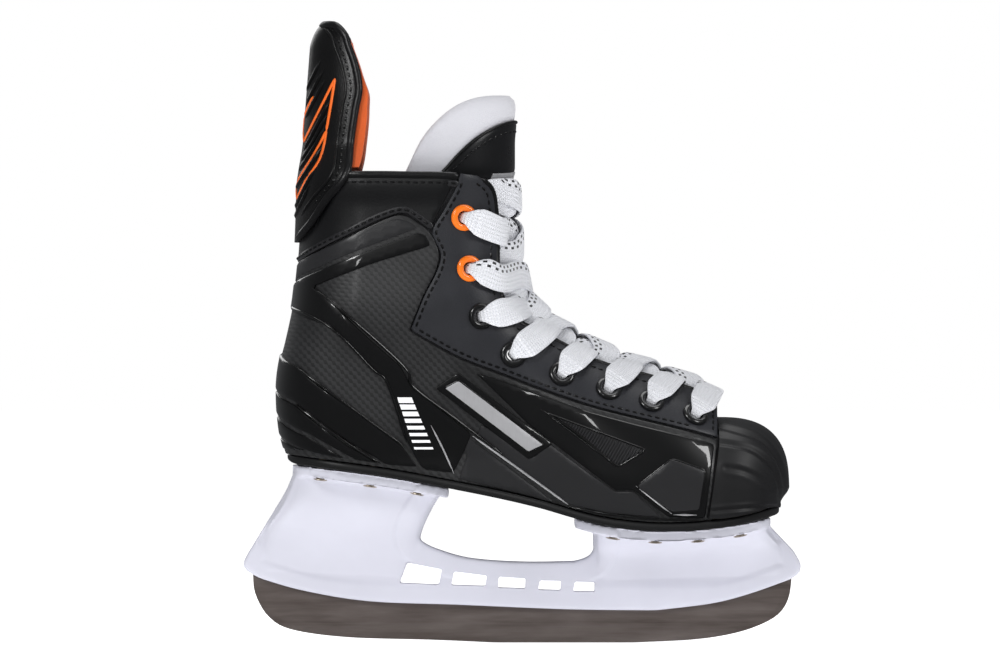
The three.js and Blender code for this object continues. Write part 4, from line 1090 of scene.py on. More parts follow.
def anklePadding():
    # A quilted lining that runs round the heel from one side to the other.
    rows, cols = 34, 90
    sweep = np.linspace(-1, 1, cols)
    turn = np.abs(sweep)
    a = unroll(heelX + 0.01) + (padding["front"] - unroll(heelX + 0.01)) * turn
    x = rollUp(a)
    z = np.linspace(padding["foot"], padding["top"], rows)[:, None] - 1.2 * ease(turn, 0.6, 1)[None, :]
    x = np.broadcast_to(x, z.shape)
    edge = np.minimum(inRange((1 - turn) * 9)[None, :],
                      inRange(np.minimum(np.arange(rows), rows - 1 - np.arange(rows)) / 4)[:, None])
    crown = np.sqrt(np.maximum(1 - (1 - edge) ** 2, 0))
    across = np.linspace(0, 1, rows)[:, None]
    quilting = 1 - 0.45 * np.exp(-((across * 4 + turn[None, :] * 1.2) % 1 - 0.5) ** 2 / 0.006)
    thin, thick = padding["depths"]
    inner = thin + 0.5 + (thick - thin - 0.5) * crown * quilting
    grids = []
    for depth in (np.full(z.shape, thin), inner):
        out = np.zeros((*z.shape, 3))
        for side in (-1, 1):
            mask = sweep < 0 if side == -1 else sweep >= 0
            out[:, mask] = bootSurface(side)(x[:, mask], z[:, mask], depth[:, mask])
        grids.append(out)
    shape = Shape("anklePadding")
    putShell(shape, grids[0], grids[1], "padding")
    piece = shape.make(["ankle_padding"], "ankle_foam", sharp=60)


anklePadding()
print("eyelets and padding made")


# Toe cap and vamp

toe = {"centre": (88.7, 70), "radii": (31.5, 44.5, 31.4), "power": 2.65, "planPower": 2.3, "wall": 2.2}


def cornered(value, power):
    return np.sign(value) * np.abs(value) ** (2 / power)


def toeSurface(plan, height, wall, lift=0.0):
    rx, ry, rz = (r - wall + lift for r in toe["radii"])
    up = np.maximum(height, 0)
    spread = cornered(np.cos(up), toe["power"])
    x = toe["centre"][0] + rx * spread * cornered(np.cos(plan), toe["planPower"])
    y = ry * spread * cornered(np.sin(plan), toe["planPower"])
    z = toe["centre"][1] + rz * cornered(np.sin(up), toe["power"])
    low = inRange(-height)
    foot = soleLine(x) + feather
    tuck = 1 - 0.14 * ease(x, 95, 121) * low
    y = y * (1 - 0.03 * ease(x, 80, 120) * low)
    z = z * (1 - low) + foot * low
    x = toe["centre"][0] + (x - toe["centre"][0]) * tuck
    return np.stack([x, centreShift(x) + y, z], -1)


# Grooves: points, width and depth. Each has a soft lip beside it.
toeGrooves = [
    ([[82, 98.6], [93, 96.2], [104, 92.6], [111, 86.8], [115.4, 78.6], [117.2, 70], [117, 62]],
     1.0, 0.7),
    ([[82, 91.2], [94, 89.6], [103, 86.8], [110.4, 80.6], [114.4, 72.6], [115.2, 64]], 1.0, 0.7),
    ([[90.6, 79.4], [98, 78.0], [105, 74.8], [110.6, 70.4]], 1.2, 0.45),
    ([[85, 60.2], [94, 61.0], [104, 61.6], [114, 61.8]], 0.8, 0.5),
]


def toeCap():
    # Heights below 0 run from the dome's foot down to the outsole.
    heights = np.concatenate([-np.linspace(1, 0, 26, endpoint=False), np.radians(np.linspace(0, 89, 86))])
    plans = np.radians(np.linspace(-90, 90, 161))
    plan, height = np.meshgrid(plans, heights)

    def grid(wall, lift=0.0):
        g = toeSurface(plan, height, wall, lift)
        rear = 82.6 + (g[..., 2] - 54.5) * 0.145
        first, last = g[:, :1].copy(), g[:, -1:].copy()
        first[..., 0] = np.minimum(rear[:, :1], first[..., 0] - 1)
        last[..., 0] = np.minimum(rear[:, -1:], last[..., 0] - 1)
        bridge = np.linspace(0, 1, 5, endpoint=False)[:, None]
        left = np.stack([first[:, 0] + (g[:, 0] - first[:, 0]) * t for t in bridge], 1)
        right = np.stack([g[:, -1] + (last[:, 0] - g[:, -1]) * (1 - t) for t in bridge[::-1]], 1)
        return np.concatenate([left, g, right], 1)

    outer = grid(0)
    x, z = outer[..., 0], outer[..., 2]
    relief = np.zeros(x.shape)
    for line, size, drop in toeGrooves:
        away = distanceTo(smoothPath(line, 8), x, z) / size
        relief += drop * (np.exp(-away ** 2) - 0.46 * np.exp(-(away - 2) ** 2))
    drift = np.gradient(outer, axis=1)
    rise = np.gradient(outer, axis=0)
    n = unit(np.cross(drift, rise))
    middle = np.array([88, 3, 70])
    n *= np.sign(((outer - middle) * n).sum(-1, keepdims=True))
    outer = outer - n * relief[..., None]
    shape = Shape("toeCap")
    putShell(shape, outer, grid(toe["wall"]), "toe")
    return shape.make(["toe_cap"], "toe_plastic", sharp=60)


def vamp():
    # A leather wall between the toe cap and the foot of the tongue.
    wallX = 84.9
    rings = []
    for z in np.linspace(95, 107.4, 14):
        half = float(halfWidth(np.array(wallX), np.array(z), 4.4))
        across = np.linspace(-1, 1, 25)
        bow = 0.35 * (1 - across ** 2)
        front = [(wallX + 1.3 + b, half * t) for t, b in zip(across, bow)]
        back = [(wallX + b * 0.6, half * t) for t, b in zip(across[::-1], bow[::-1])]
        rings.append([(x, centreShift(wallX) + y, z) for x, y in front + back])
    shape = Shape("vampWall")
    putLoft(shape, rings, "binding")
    return shape.make(["vamp"], "collar_leather")


toeCap()
vamp()
print("toe made")


# Sole pieces and rivets

sole = {"rear": -105.5, "front": 115.8, "frontRadius": 36}


def soleHalfWidth(x, inset):
    heel = rounding((x - sole["rear"] - inset) / (heelRadius - inset), 2.15)
    front = rounding((sole["front"] - inset - x) / (sole["frontRadius"] - inset), 2.3)
    return (footPlan(x) * 0.95 - inset) * heel * front


def solePlate(shape, inset, rise, thickness, finish, edge, dish=0.0):
    # A plate that follows the sole line, with rolled edges.
    start, end = sole["rear"] + inset, sole["front"] - inset
    t = (1 - np.cos(np.linspace(0.02, pi - 0.02, 110))) / 2
    xs = start + (end - start) * t
    profileTurns = np.linspace(-pi / 2, pi / 2, 7)
    rings = []
    for x in xs:
        half = float(soleHalfWidth(x, inset))
        top = float(soleLine(x)) + rise + thickness
        deep = thickness * float(0.3 + 0.7 * rounding(min(x - start, end - x) / 6, 2))
        low = top - deep
        mid = float(centreShift(x))
        sideWays = [(half - edge + edge * cos(a), low + deep / 2 + (deep / 2) * sin(a)) for a in profileTurns]
        half = max(half, edge * 1.02)
        across = np.linspace(0.96, -0.96, 15)
        upper = [((half - edge) * w, top - dish * (1 - w * w)) for w in across]
        left = [(-y, z) for y, z in sideWays[::-1]]
        under = [((half - edge) * w, low) for w in across[::-1]]
        rings.append([(x, mid + y, z) for y, z in sideWays + upper + left + under])
    putLoft(shape, rings, finish)


outsole = Shape("outsoleShell")
solePlate(outsole, 0, 0, outsoleThickness, "sole", 0.9)
outsole.make(["outsole"], "outsole_plastic", sharp=50)
board = Shape("insoleBoard")
solePlate(board, 6.3, 4.0, 1.6, "board", 0.5)
board.make(["insole_board"], "insole_fibre", sharp=50)
bed = Shape("footbedPad")
solePlate(bed, 7.2, 7.0, 3.0, "footbed", 1.3, dish=0.5)
bed.make(["footbed"], "footbed_foam", sharp=60)

rivetRows = {
    "heel": [[-89.6, 18.5], [-67.2, 20.5], [-46, 20.5]],
    "fore": [[41.3, 26], [59.5, 28], [78, 28.5], [96.5, 25]],
}


def rivets():
    shape = Shape("rivets")
    used = []
    foot, top = -5.2, 5.9
    pairs = [(0, foot - 0.2), (1.1, foot - 0.25), (1.3, foot - 0.6), (2.0, foot - 0.7), (2.8, foot - 0.5),
             (3.15, foot - 0.2), (3.1, foot), (1.9, foot), (1.9, top), (2.9, top), (2.8, top + 0.3),
             (2.2, top + 0.6), (0, top + 0.6)]
    for row, places in rivetRows.items():
        for name, side in sides.items():
            for i, (x, y) in enumerate(places):
                slope = float(soleLine(x + 2) - soleLine(x - 2)) / 4
                spot = np.array([x, float(centreShift(x)) + side * y, float(soleLine(x))])
                putTurned(shape, pairs, spot, [-slope, 0, 1], "rivet", 24)
                used.append(f"rivet_{row}_{name}_{i + 1}")
    shape.make(used, "rivet_metal", sharp=40)


rivets()
print("sole made")


# Blade holder

holder = {"web": 9.4, "voxel": 0.0008, "smooth": 3, "band": 10.5, "step": 0.8}
holderOutline = {
    "rearTop": [[-103.2, 74], [-107.6, 65.8], [-123.4, 40]],
    "heel": [[-123.4, 40], [-125.4, 35.6], [-124, 32.6], [-118, 29]],
    "underside": [[-118, 29], [-98.4, 23.4], [-68.7, 18.6], [-27.9, 17], [20, 15], [60, 14.5]],
    "toeward": [[60, 14.5], [85.2, 17.6], [102.4, 22], [122, 29]],
    "nose": [[122, 29], [125.3, 32.6], [125, 36.2], [122, 41.5]],
    "frontTop": [[122, 41.5], [111, 53], [31.6, 49]],
    "windowFront": [[31.6, 49], [32.9, 45.5], [30.6, 39.4], [24, 36.7]],
    "windowFloor": [[24, 36.7], [0, 36.4], [-24, 38.2], [-40, 42.8]],
    "windowRear": [[-40, 42.8], [-46, 46.6], [-45.8, 52.6], [-38.5, 64]],
}
holderWindows = [
    [[-51.5, 36], [-36, 33], [-37.4, 26], [-55, 26.8]],
    [[-30.5, 32], [-15.8, 30.2], [-16.5, 25.4], [-31.8, 25.9]],
    [[-10.4, 29.7], [1.6, 28.9], [1.4, 24.3], [-10.9, 24.7]],
    [[8, 28], [17.5, 27.8], [17.3, 23.5], [7.2, 23.8]],
    [[23.7, 27.5], [32.6, 27.2], [32.6, 22.9], [23, 23]],
]


def flatPlane(x, z, depth):
    return np.stack([x, depth, z], -1)


def flatPlate(shape, outline, thickness, finish, spacing=6.0, radius=0.01):
    # The heel isn't unrolled for a flat piece, so its outline is planned well in front of it.
    clear = 500
    shares = (0.35, 0.9)
    x, z, triangles, away = patchPlan(np.asarray(outline) + [clear, 0], spacing, [radius * s for s in shares])
    half = thickness / 2 - rimDrop(away, radius)
    putPlate(shape, flatPlane(x - clear, z, -half), flatPlane(x - clear, z, half), triangles, finish)


def towerRings(levels):
    # A tower's rings, with many rounded levels between the given ones.
    keys = [[*rear, *front, *rest] for rear, front, *rest in levels]
    rings = []
    for rx, rz, fx, fz, half, turn, lean in smoothPath(keys, 10):
        t = np.linspace(0, 1, 40)
        width = np.hypot(fx - rx, fz - rz)
        inFromEnd = np.minimum(t, 1 - t) * width
        share = 0.35 + 0.65 * rounding(inFromEnd / turn, 2)
        x = rx + (fx - rx) * t
        z = rz + (fz - rz) * t
        mid = lean * centreShift(x)
        front = np.stack([x, mid - half * share, z], 1)
        back = np.stack([x, mid + half * share, z], 1)[::-1]
        rings.append(np.vstack([front, back]))
    return rings


def bladeHolder():
    def under(x, drop=4.4):
        return [x, float(soleLine(x)) - 0.4 - drop]

    shape = Shape("bladeHolder")
    outline = np.vstack([(np.array(part, float) if "Top" in name else smoothPath(part, 8))[:-1]
                         for name, part in holderOutline.items()] + [[[-38.5, 64]]])
    flatPlate(shape, outline, holder["web"], "holder", 3.0, 0.9)
    heel = [([-121, 33], [-48, 30], 4.9, 8, 0), ([-116.5, 50], [-45.5, 48], 7.5, 9, 0.3),
            ([-108.5, 63], [-41, 59], 12.5, 11, 0.7), (under(-103), under(-37), 15, 16, 1)]
    fore = [([31, 28], [121.5, 31], 4.9, 8, 0), ([32.5, 38], [118, 42], 8.5, 9, 0.3),
            ([32, 44], [112.5, 49], 15, 11, 0.7), (under(32), under(110.5), 20.5, 13, 1)]
    for levels in (heel, fore):
        putLoft(shape, towerRings(levels), "holder")
    for start, end, half in ((-103.5, -33, 25), (23.7, 111.5, 32.5)):
        xs = start + (end - start) * (1 - np.cos(np.linspace(0.03, pi - 0.03, 60))) / 2
        rings = []
        for x in xs:
            t = (x - start) / (end - start)
            wide = min(half * rounding((t + 0.03) / 0.3, 2.4) * rounding((1.03 - t) / 0.3, 2.4),
                       soleHalfWidth(x, 3))
            low, high = under(x)[1], under(x, 0)[1]
            mid = float(centreShift(x))
            across = np.linspace(-1, 1, 24)
            rings.append([(x, mid + wide * a, low) for a in across]
                         + [(x, mid + wide * a, high) for a in across[::-1]])
        putLoft(shape, rings, "holder")
    piece = shape.make(["blade_holder"], "holder_plastic")
    bpy.context.view_layer.objects.active = piece
    mesh = piece.modifiers.new("union", "REMESH")
    mesh.mode = "VOXEL"
    mesh.voxel_size = holder["voxel"]
    soft = piece.modifiers.new("soft", "SMOOTH")
    soft.factor = 0.5
    soft.iterations = holder["smooth"]
    tools = [slotCutters(), runnerGroove()]
    for tool in tools:
        cutter = piece.modifiers.new("cut", "BOOLEAN")
        cutter.operation = "DIFFERENCE"
        cutter.solver = "EXACT"
        cutter.object = tool
    graph = bpy.context.evaluated_depsgraph_get()
    made = bpy.data.meshes.new_from_object(piece.evaluated_get(graph))
    piece.modifiers.clear()
    old = piece.data
    piece.data = made
    bpy.data.meshes.remove(old)
    for tool in tools:
        bpy.data.objects.remove(tool)
    made.materials.clear()
    made.materials.append(finishes["holder"])
    bandSteps(made)
    made.shade_smooth()
    made.set_sharp_from_angle(angle=radians(50))
    print("holder vertices", len(made.vertices))


def slotCutters():
    # The five slots in the beam, with softened corners.
    shape = Shape("slots")
    for corners in holderWindows:
        flatPlate(shape, softCorners(corners, 0.9, 5), 24, "holder")
    return addToScene(shape.name, shape.mesh())


def runnerGroove():
    # The cutter for the runner's slot.
    groove = Shape("groove")
    roof = smoothPath([[-121.4, 33.6], [-98, 27.8], [-68, 23.2], [-28, 21.4], [20, 20], [60, 19.6],
                       [85.2, 22.4], [102.4, 27], [121.9, 33.6]], 6)
    flatPlate(groove, np.vstack([[[-121.4, 10]], roof, [[121.9, 10]]]), 3.7, "holder")
    return addToScene(groove.name, groove.mesh())


def outlineParts(*names):
    return np.vstack([smoothPath(holderOutline[name], 8) for name in names])


def bandSteps(mesh):
    # The moulded step beside the foot window, and a flat top under the sole.
    points, normals = np.zeros((2, len(mesh.vertices) * 3))
    mesh.vertices.foreach_get("co", points)
    mesh.vertices.foreach_get("normal", normals)
    points, normals = points.reshape(-1, 3), normals.reshape(-1, 3)
    x, z = points[:, 0] * 1000, points[:, 2] * 1000
    facing = ease(np.abs(normals[:, 1]), 0.6, 0.85)
    away = distanceTo(outlineParts("windowFront", "windowFloor", "windowRear"), x, z)
    rim = distanceTo(outlineParts("heel", "underside", "toeward", "nose"), x, z)
    sink = holder["step"] * ease(away, holder["band"] - 0.7, holder["band"] + 0.7) * ease(rim, 6, 9)
    points[:, 1] -= np.sign(normals[:, 1]) * facing * ease(z, 24, 30) * sink * metresPerMm
    points[:, 2] = np.minimum(points[:, 2], (soleLine(x) - 0.4) * metresPerMm)
    mesh.vertices.foreach_set("co", points.ravel())
    mesh.update()


bladeHolder()
print("blade holder made")


# Runner and its bolts

def runner():
    parts = [
        [[-121, 30.6], [-120, 22], [-114.2, 11.9], [-103.7, 5.9], [-78.6, 2.4], [-40, 1.2], [-12, 0]],
        [[-12, 0], [50, 0]],
        [[50, 0], [76.5, 1.3], [93.8, 3.8], [106.7, 7.8], [115.6, 13], [120, 20.3], [121.4, 30.6]],
        [[121.4, 30.6], [102.4, 25.6], [85.2, 21.2], [81.2, 20.2]],
    ]
    hookFront = [[81, 38], [75.6, 38], [75.6, 33], [69, 33], [69, 29], [63, 29]]
    hookRear = [[-63, 38], [-68.4, 38], [-68.4, 33], [-75, 33], [-75, 29], [-81, 29]]
    outline = np.vstack([smoothPath(p, 10)[:-1] for p in parts] + [[[81.2, 20.2]], hookFront]
                        + [smoothPath([[63, 18.7], [20, 18.7], [-28, 20], [-62.8, 21.4]], 8), hookRear]
                        + [smoothPath([[-81, 23.6], [-98, 26.4], [-120.8, 31.4]], 6)])
    shape = Shape("runnerBlade")
    flatPlate(shape, outline, 3, "steel", 3.0, 0.3)
    return shape.make(["runner"], "runner_steel", sharp=30)


runner()
for boltName in ("blade_bolt_rear", "blade_bolt_front", "blade_nut_rear", "blade_nut_front"):
    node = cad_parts[boltName]
    for place in node.material_slots:
        place.material = finishes["bolt"]


# Tendon guard

guard = {"wall": 1.6, "radius": 28, "bend": {"body": "tendon_guard", "start": (-0.098, 0, 0.205),
                                             "end": (-0.098, 0, 0.214)}}
guardWidth = profile([[170, 34], [206, 31.5], [225, 29], [250, 25], [265, 22], [272, 21], [279, 22]])
guardReach = profile([[178, 0.1], [182, 1.8], [188.5, 7], [199.5, 14], [207, 20], [213, 22.2], [224, 22.4],
                      [240, 23.6], [248, 24.4], [258, 22], [268, 17.6], [272, 15.2], [276, 9.8], [279, 3]])


def guardBack(z):
    # The rear line of the guard, which curls forward at the crown.
    return backLine(np.minimum(z, 271)) + 5.4 * inRange((z - 267) / 12) ** 2


def guardSurface(side):
    # Follows the boot below the bend and rises free above it.
    radius = guard["radius"]

    def at(x, z, depth):
        x, z, depth = np.broadcast_arrays(np.asarray(x, float), z, depth)
        back = guardBack(z)
        turn = np.arccos(np.clip(1 - (x - back) / radius, -1, 1))
        free = np.stack([back + radius - (radius - depth) * np.cos(turn),
                         side * (guardWidth(z) - depth) * np.sin(turn), z], -1)
        low = np.minimum(z, 211.5)
        inside = depth - 2.2
        own = straightX(x, z)
        px = fromBack(own, low) + inside * inRange(1 - (own - heelX) / heelRadius)
        y = halfWidth(np.maximum(px, backLine(low) + inside), low, inside)
        base = np.stack([px, side * y * np.where(x - back < 0.01, 0, 1), z], -1)
        mix = ease(z, 204, 226)[..., None]
        return base * (1 - mix) + free * mix
    at.side = side
    return at


def guardGrid(levels, turns, depth, shrink=1.0):
    out = np.zeros((len(levels), len(turns), 3))
    for i, z in enumerate(levels):
        back = float(guardBack(z))
        reach = np.arccos(np.clip(1 - float(guardReach(z)) / guard["radius"], -1, 1))
        for side in (-1, 1):
            mask = turns < 0 if side == -1 else turns >= 0
            t = np.abs(turns[mask]) * shrink
            x = back + guard["radius"] * (1 - np.cos(t * reach))
            d = depth[i][mask] if np.ndim(depth) else np.full(mask.sum(), depth)
            out[i, mask] = guardSurface(side)(x, np.full_like(x, z), d)
    return out


def tendonGuard():
    shape = Shape("tendonGuardShell")
    levels = np.concatenate([np.linspace(180, 206, 22), np.linspace(207, 278.4, 56)])
    turns = np.linspace(-1, 1, 61)
    edge = 1 - np.abs(turns)
    rows = np.arange(len(levels))
    rimLow = inRange(edge * 14)[None, :] * inRange((len(levels) - 1 - rows) / 2.5)[:, None]
    drop = 0.8 * (1 - np.sqrt(np.maximum(1 - (1 - rimLow) ** 2, 0)))
    putShell(shape, guardGrid(levels, turns, drop), guardGrid(levels, turns, guard["wall"]), "guard")
    rimLevels = np.linspace(181, 277.2, 90)
    reach = guardReach(rimLevels)
    back = guardBack(rimLevels)
    rimX = back + reach * 0.985
    shares = (0.8, 0.55, 0.3, 0.12, 0.02)
    crown = np.array([[back[-1] + reach[-1] * k, 277.4 + 0.3 * (1 - k)] for k in shares])
    ribs = [
        [[-85.8, 243.2], [-97.8, 220.8]], [[-86.8, 237.2], [-98.3, 216.0]], [[-87.8, 231.6], [-98.7, 211.4]],
        [[-88.8, 223.2], [-99.2, 203.8]], [[-91.2, 212.6], [-99.6, 195.4]], [[-93.2, 205.0], [-99.8, 191.0]],
        [[-88.2, 252.6], [-97.2, 235.4]], [[-88.8, 257.4], [-97.0, 241.4]], [[-90.0, 261.6], [-96.8, 248.2]],
    ]
    grooves = [
        [[-83.6, 252.9], [-90.6, 239.2], [-98.0, 225.0]], [[-83.6, 252.9], [-85.4, 241.3], [-87.4, 229.7]],
        [[-87.4, 229.7], [-93.0, 218.4], [-98.9, 207.0]], [[-87.4, 229.7], [-89.7, 216.9], [-94.0, 209.2]],
        [[-94.0, 209.2], [-98.9, 199.4]], [[-93.5, 245.3], [-96.0, 240.9], [-98.0, 236.6]],
        [[-98.0, 236.6], [-98.3, 230.2], [-98.0, 225.0]], [[-98.9, 207.0], [-99.2, 203.0], [-98.9, 199.4]],
    ]
    for side in (-1, 1):
        surface = guardSurface(side)
        rim = np.vstack([np.stack([rimX, rimLevels], 1), crown])
        putBead(shape, surface, rim, 3.4, 1.3, "binding", 0.2, step=1.6)
        putStitches(shape, surface, np.stack([rimX - 3.6 * ease(reach, 4, 9), rimLevels], 1)[14:], 0.1)
        inner = np.stack([back + reach - 6.2, rimLevels], 1)[reach > 9]
        putBead(shape, surface, inner, 1.4, 0.9, "guard", 0.1, taper=4)
        for line in ribs:
            putBead(shape, surface, smoothPath(line, 8), 2.0, 1.0, "guard", 0.1, taper=5)
        for line in grooves:
            putBead(shape, surface, smoothPath(line, 8), 1.3, 0.42, "groove", 0.05, "flat")
    return shape.make(["tendon_guard", "guard_base"], "guard_leather", sharp=50, between=guard["bend"])


def guardLiner():
    shape = Shape("guardLiner")
    levels = np.linspace(213, 270.5, 46)
    turns = np.linspace(-1, 1, 51)
    edge = np.minimum(inRange((1 - np.abs(turns)) * 8)[None, :],
                      inRange(np.minimum(np.arange(46), 45 - np.arange(46)) / 5)[:, None])
    crown = np.sqrt(np.maximum(1 - (1 - edge) ** 2, 0))
    outer = guardGrid(levels, turns, 2.2, 1.03)
    inner = guardGrid(levels, turns, 2.8 + 3.6 * crown, 1.03)
    bulge = profile([[213, 3.0], [222, 4.2], [235, 4.0], [246, 2.4], [254, 0.5], [263, 0], [271, 0]])(levels)
    wing = ease(np.abs(turns), 0.7, 1)
    for g in (outer, inner):
        g[..., 0] += bulge[:, None] * wing[None, :]
    putShell(shape, outer, inner, "lining")
    piece = shape.make(["guard_liner"], "guard_lining", "tendon_guard", sharp=60)


tendonGuard()
guardLiner()
print("tendon guard made")


# Tongue

tongue = {"inset": 3.0, "foot": (84.5, 114.4), "hinge": 203, "lowTurn": 56,
          "bend": {"body": "tongue", "start": (-0.006, 0, 0.199), "end": (-0.006, 0, 0.208)}}
tongueStitch = {**bootStitch, "pitch": 3.6, "first": 0.6, "width": 1.0, "height": 0.8,
                "along": (0, 0.15, 0.5, 0.85, 1), "lift": (0.1, 0.1, 0.1, 0.1, 0.1)}
tongueDeep = profile([[112, 25], [126, 34], [150, 38], [180, 40]])
tongueHalf = profile([[112, 20], [126, 23.5], [142, 26.5]])


def frontPlace(points):
    p = np.atleast_2d(points)
    return np.array([frontRun[np.argmin(np.hypot(*(frontLine - q).T))] for q in p])


def tonguePoint(place, turn, depth):
    place, turn, depth = np.broadcast_arrays(np.asarray(place, float), turn, depth)
    cx, cz = (np.interp(place, frontRun, frontLine[:, k]) for k in (0, 1))
    tx, tz = (np.interp(place, frontRun, frontHeading[:, k]) for k in (0, 1))
    deep, half = tongueDeep(cz), tongueHalf(cz)
    along = tongue["inset"] + deep - (deep - depth) * np.cos(turn)
    x = cx + tz * along
    return np.stack([x, centreShift(x) + (half - depth) * np.sin(turn), cz - tx * along], -1)


hingePlace = float(frontPlace([-3, tongue["hinge"] - 1.6])[0])


def tongueLean(z):
    # Above the laces the tongue stands a little forward.
    return 2.4 * ease(z, 204, 214) + 2.0 * ease(z, 224, 244)


def tongueSheet(layer, widest, crown, drop, power, crownRound, rows=70, cols=61):
    # Both faces of one layer, from the foot at the toe to the crown, as one sheet.
    foot = float(frontPlace(tongue["foot"])[0])
    t = np.linspace(-1, 1, cols)
    s = np.linspace(0, 1, rows)
    bend = 0.68
    top = crown - drop * np.abs(t) ** power
    low, high = layer
    grids = []
    sideEdge = np.minimum(inRange((1 - np.abs(t)) * crownRound)[None, :],
                          inRange(np.minimum(np.arange(rows), rows - 1 - np.arange(rows)) / 3.5)[:, None])
    puff = np.sqrt(np.maximum(1 - (1 - sideEdge) ** 2, 0))
    middle = (low + high) / 2
    for depth in (low, high):
        d = middle + (depth - middle) * (0.15 + 0.85 * puff)
        out = np.zeros((rows, cols, 3))
        for i, k in enumerate(s):
            if k <= bend:
                place = foot + (hingePlace - foot) * k / bend
                widen = ease(k, bend * 0.9, bend)
                turn = radians(tongue["lowTurn"] + (widest - tongue["lowTurn"]) * widen)
                out[i] = tonguePoint(place, t * turn, d[i])
            else:
                out[i] = tonguePoint(hingePlace, t * radians(widest), d[i])
                share = (k - bend) / (1 - bend)
                out[i, :, 2] = out[i, :, 2] * (1 - share) + top * share
        out[..., 0] += tongueLean(out[..., 2])
        grids.append(out)
    return grids


def outwardOnTongue(line):
    # Level normals along a line on the tongue, pointing away from the leg.
    n = unit(np.cross(unit(np.gradient(line, axis=0)), [0, 0, 1.0]))
    return n * np.sign((n * (line - np.array([-40, 0, 230]))).sum(1, keepdims=True))


def edgePipe(shape, line, width=1.7):
    # A round bound edge along a line on the tongue.
    normals = outwardOnTongue(line)
    ups = unit(np.cross(unit(np.gradient(line, axis=0)), normals))
    turns = np.linspace(0, 2 * pi, 8, endpoint=False)
    rings = [[p + a * cos(t) * width / 2 + b * sin(t) * width / 2 for t in turns]
             for p, a, b in zip(line, normals, ups)]
    putLoft(shape, rings, "binding")


def stitchesOnTongue(shape, grid):
    # A row of stitches beside the face's upper edge.
    base = grid[-5]
    gap = np.linalg.norm(base - grid[-1], axis=1, keepdims=True)
    line = base + unit(grid[-9] - base) * (4.2 - gap)
    putStitchRow(shape, line, outwardOnTongue(line), tongueStitch)


def tonguePieces():
    felt = Shape("tongueFelt")
    putShell(felt, *tongueSheet((1.4, 8.4), 104, 245.8, 35, 5, 9), "felt")
    nodes = ["tongue_lower_felt", "tongue_upper_felt"]
    piece = felt.make(nodes, "tongue_felt", sharp=70, between=tongue["bend"])
    face = Shape("tongueFace")
    outer, inner = tongueSheet((-0.1, 1.3), 78, 234, 23, 3, 40)
    putShell(face, outer, inner, "tongue")
    edgePipe(face, outer[-1])
    stitchesOnTongue(face, outer)
    patchOnTongue(face)
    nodes = ["tongue_lower_face", "tongue_upper_face"]
    face.make(nodes, "tongue_leather", sharp=50, between=tongue["bend"])


def patchOnTongue(shape):
    # A plain silver strip across the front, just above the laces.
    rows, cols = 7, 33
    turns = np.radians(np.linspace(-40, 40, cols))
    outer, inner = np.zeros((2, rows, cols, 3))
    for i, r in enumerate(np.linspace(0, 1, rows)):
        for grid, depth in ((outer, -0.7 + 0.3 * abs(r - 0.5)), (inner, 0.2)):
            grid[i] = tonguePoint(hingePlace, turns, depth)
            grid[i, :, 2] = 206.5 + 5.2 * r - 3.0 * np.abs(np.sin(turns)) * (1 - r * 0.4)
            grid[i, :, 0] += tongueLean(grid[i, :, 2])
    putShell(shape, outer, inner, "silverAndHighlight")


tonguePieces()
print("tongue made")


# Lace

lace = {"width": 12.6, "thickness": 2.0, "height": 2.1, "crossing": 2.5, "lean": 0.28}
laceEdges = np.array([
    [-11.2, 213], [-10.6, 191], [-10.2, 168], [-6.6, 152.6], [4.7, 141.8], [21.8, 133],
    [41.7, 124.9], [60.9, 119.8], [80.4, 114], [96, 106.8],
])
laceLine = smoothPath(laceEdges, 50)


def laceEdge(row):
    where = np.arange(len(laceLine)) / 50
    return np.array([np.interp(row, where, laceLine[:, k]) for k in (0, 1)])


def alongRows(row):
    a, b = laceEdge(row - 0.1), laceEdge(row + 0.1)
    return unit(np.array([b[0] - a[0], 0, b[1] - a[1]]))


def atEdge(row, side, depth, width=None):
    x, z = laceEdge(row)
    surface = bootSurface(side)
    spot = surface(x, z, 0.0) - normalsOn(surface, x, z, 0.0, 2) * depth
    return spot, width or lace["width"], alongRows(row)


def onTongue(row, turn, height, width=None):
    spot = tonguePoint(frontPlace(laceEdge(row))[0], radians(turn), -height)
    return spot, width or lace["width"], alongRows(row)


def throughEyelet(number, side):
    surface = bootSurface(side)
    x, z = eyelets["places"][number - 1]
    origin, axis = surface(x, z, 0.0), normalsOn(surface, x, z, 0.0, 2)
    forward = surface(*laceEdge(number + (lace["lean"] if number < 8 else 0.17)), 0.0) - origin
    forward = unit(forward - axis * (forward @ axis))
    across = unit(np.cross(forward, axis))
    steps = [[8.2, -2.6, 12.6], [4.8, -2.9, 10.8], [2.6, -2.6, 8.4], [0.7, -1.4, 5.4], [0, 1.2, 4.6],
             [0, 4.8, 4.6], [1.1, 6.5, 5.0], [4.2, 6.6, 7.0]]
    return [(origin + forward * o - axis * d, w, across) for o, d, w in steps]


def overTongue(row, slope, side, height):
    # Five stations from one side of the tongue to the other.
    return [onTongue(row + turn * slope, side * turn, height) for turn in (24, 12, 0, -12, -24)]


def laceHeight(over):
    return lace["height"] + (lace["crossing"] if over else 0)


def crossing(row, side, over):
    lean = lace["lean"]
    return [atEdge(row + 1 - lean, side, 4.6, 10), *overTongue(row + 0.5, 0.0096, side, laceHeight(over)),
            atEdge(row + lean, -side, -2.0)]


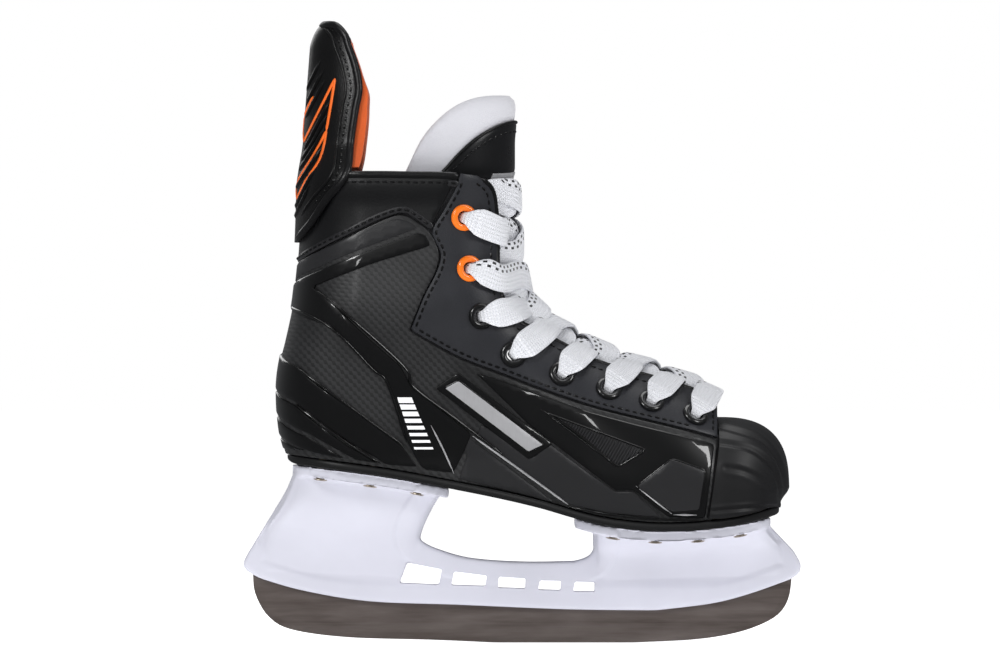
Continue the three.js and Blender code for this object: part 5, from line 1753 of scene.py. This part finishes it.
def laceHalf(firstSide, over):
    stations = []
    side = firstSide
    for number in range(8, 0, -1):
        stations += throughEyelet(number, side)
        if number > 1:
            stations += crossing(number - 1, side, over)
        side = -side
    last = -firstSide

    def tail(x, z, depth, across, width=7):
        return bootSurface(-last)(x, z, depth), width, np.array(across, float)

    return stations + [
        atEdge(1 - lace["lean"], last, 4.4 if over else 5.6, 10),
        *overTongue(0.66, 0.004, last, laceHeight(over)),
        atEdge(0.5, -last, 4.2 if over else 5.6, 9),
        tail(-17, 201.5, 5.2, (0, 0, -1)), tail(-26, 200, 6.6, (0, 0, -1)), tail(-33, 195, 7, (0, 0, -1)),
        tail(-38, 184, 7, (-1, 0, 0)), tail(-38, 168, 7, (-1, 0, 0)),
    ]


def laceRibbon():
    foot = 8.17
    bar = [atEdge(foot, -1, -2.9), *overTongue(foot, 0, -1, lace["height"] + 0.8), atEdge(foot, 1, -2.9)]
    stations = laceHalf(-1, True)[::-1] + bar + laceHalf(1, False)
    spots = np.array([s[0] for s in stations])
    widths = np.array([s[1] for s in stations])[:, None]
    acrossKeys = []
    previous = None
    for i, (spot, _, across) in enumerate(stations):
        before, after = spots[max(i - 1, 0)], spots[min(i + 1, len(spots) - 1)]
        heading = unit(after - before)
        wide = unit(across - heading * (across @ heading))
        if previous is not None and wide @ previous < 0:
            wide = -wide
        previous = wide
        acrossKeys.append(wide)
    steps = 7
    line = smoothPath(spots, steps)
    wides = smoothPath(np.array(acrossKeys), steps)
    sizes = smoothPath(widths, steps)[:, 0]
    heading = unit(np.gradient(line, axis=0))
    wides = unit(wides - heading * (wides * heading).sum(1, keepdims=True))
    ups = np.cross(heading, wides)
    run = lengths(line)
    turns = np.linspace(0, 2 * pi, 20, endpoint=False)
    section = [(cornered(cos(t), 3.2), cornered(sin(t), 3.2)) for t in turns]
    rings, marks = [], []
    for p, w, u, size, s in zip(line, wides, ups, sizes, run):
        swell = lace["thickness"] / 2 * (1 + 0.55 * (1 - min(size / lace["width"], 1)))
        rings.append([p + w * a * size / 2 + u * b * swell for a, b in section])
        shown = float(ease(p[2], 156, 160) * (1 - ease(p[2], 173, 178)))
        plain = -0.36 * float(ease(abs(p[1] - centreShift(p[0])), 15, 21)) * (1 - shown)
        marks.append([(s, a * 0.5 + 0.5 + plain) for a, b in section])
    shape = Shape("laceRibbon")
    putLoft(shape, rings, "lace", np.array(marks))
    shape.make(["lace"], "lace_cloth", sharp=70)
    print("lace length", round(run[-1]))


laceRibbon()
print("lace made")


# Floor

def floor(radius=9, corners=64):
    # A wide pale floor. Glossy pieces don't mirror it.
    made = Finish("paleFloor", roughness=0.6, glowColour=(1, 1, 1), glow=0.95)
    where = made.place()
    made.set("colour", made.colours(made.noise(where, 3, 2), (0.93, 0.93, 0.93), (0.96, 0.96, 0.96)))
    mesh = bpy.data.meshes.new("floor")
    turns = np.linspace(0, 2 * pi, corners, endpoint=False)
    rim = [(radius * cos(t), radius * sin(t), -0.0004) for t in turns]
    mesh.from_pydata(rim, [], [tuple(range(corners))])
    mesh.materials.append(made.material)
    mesh.shade_smooth()
    piece = addToScene("floor", mesh)
    piece.visible_glossy = False


floor()
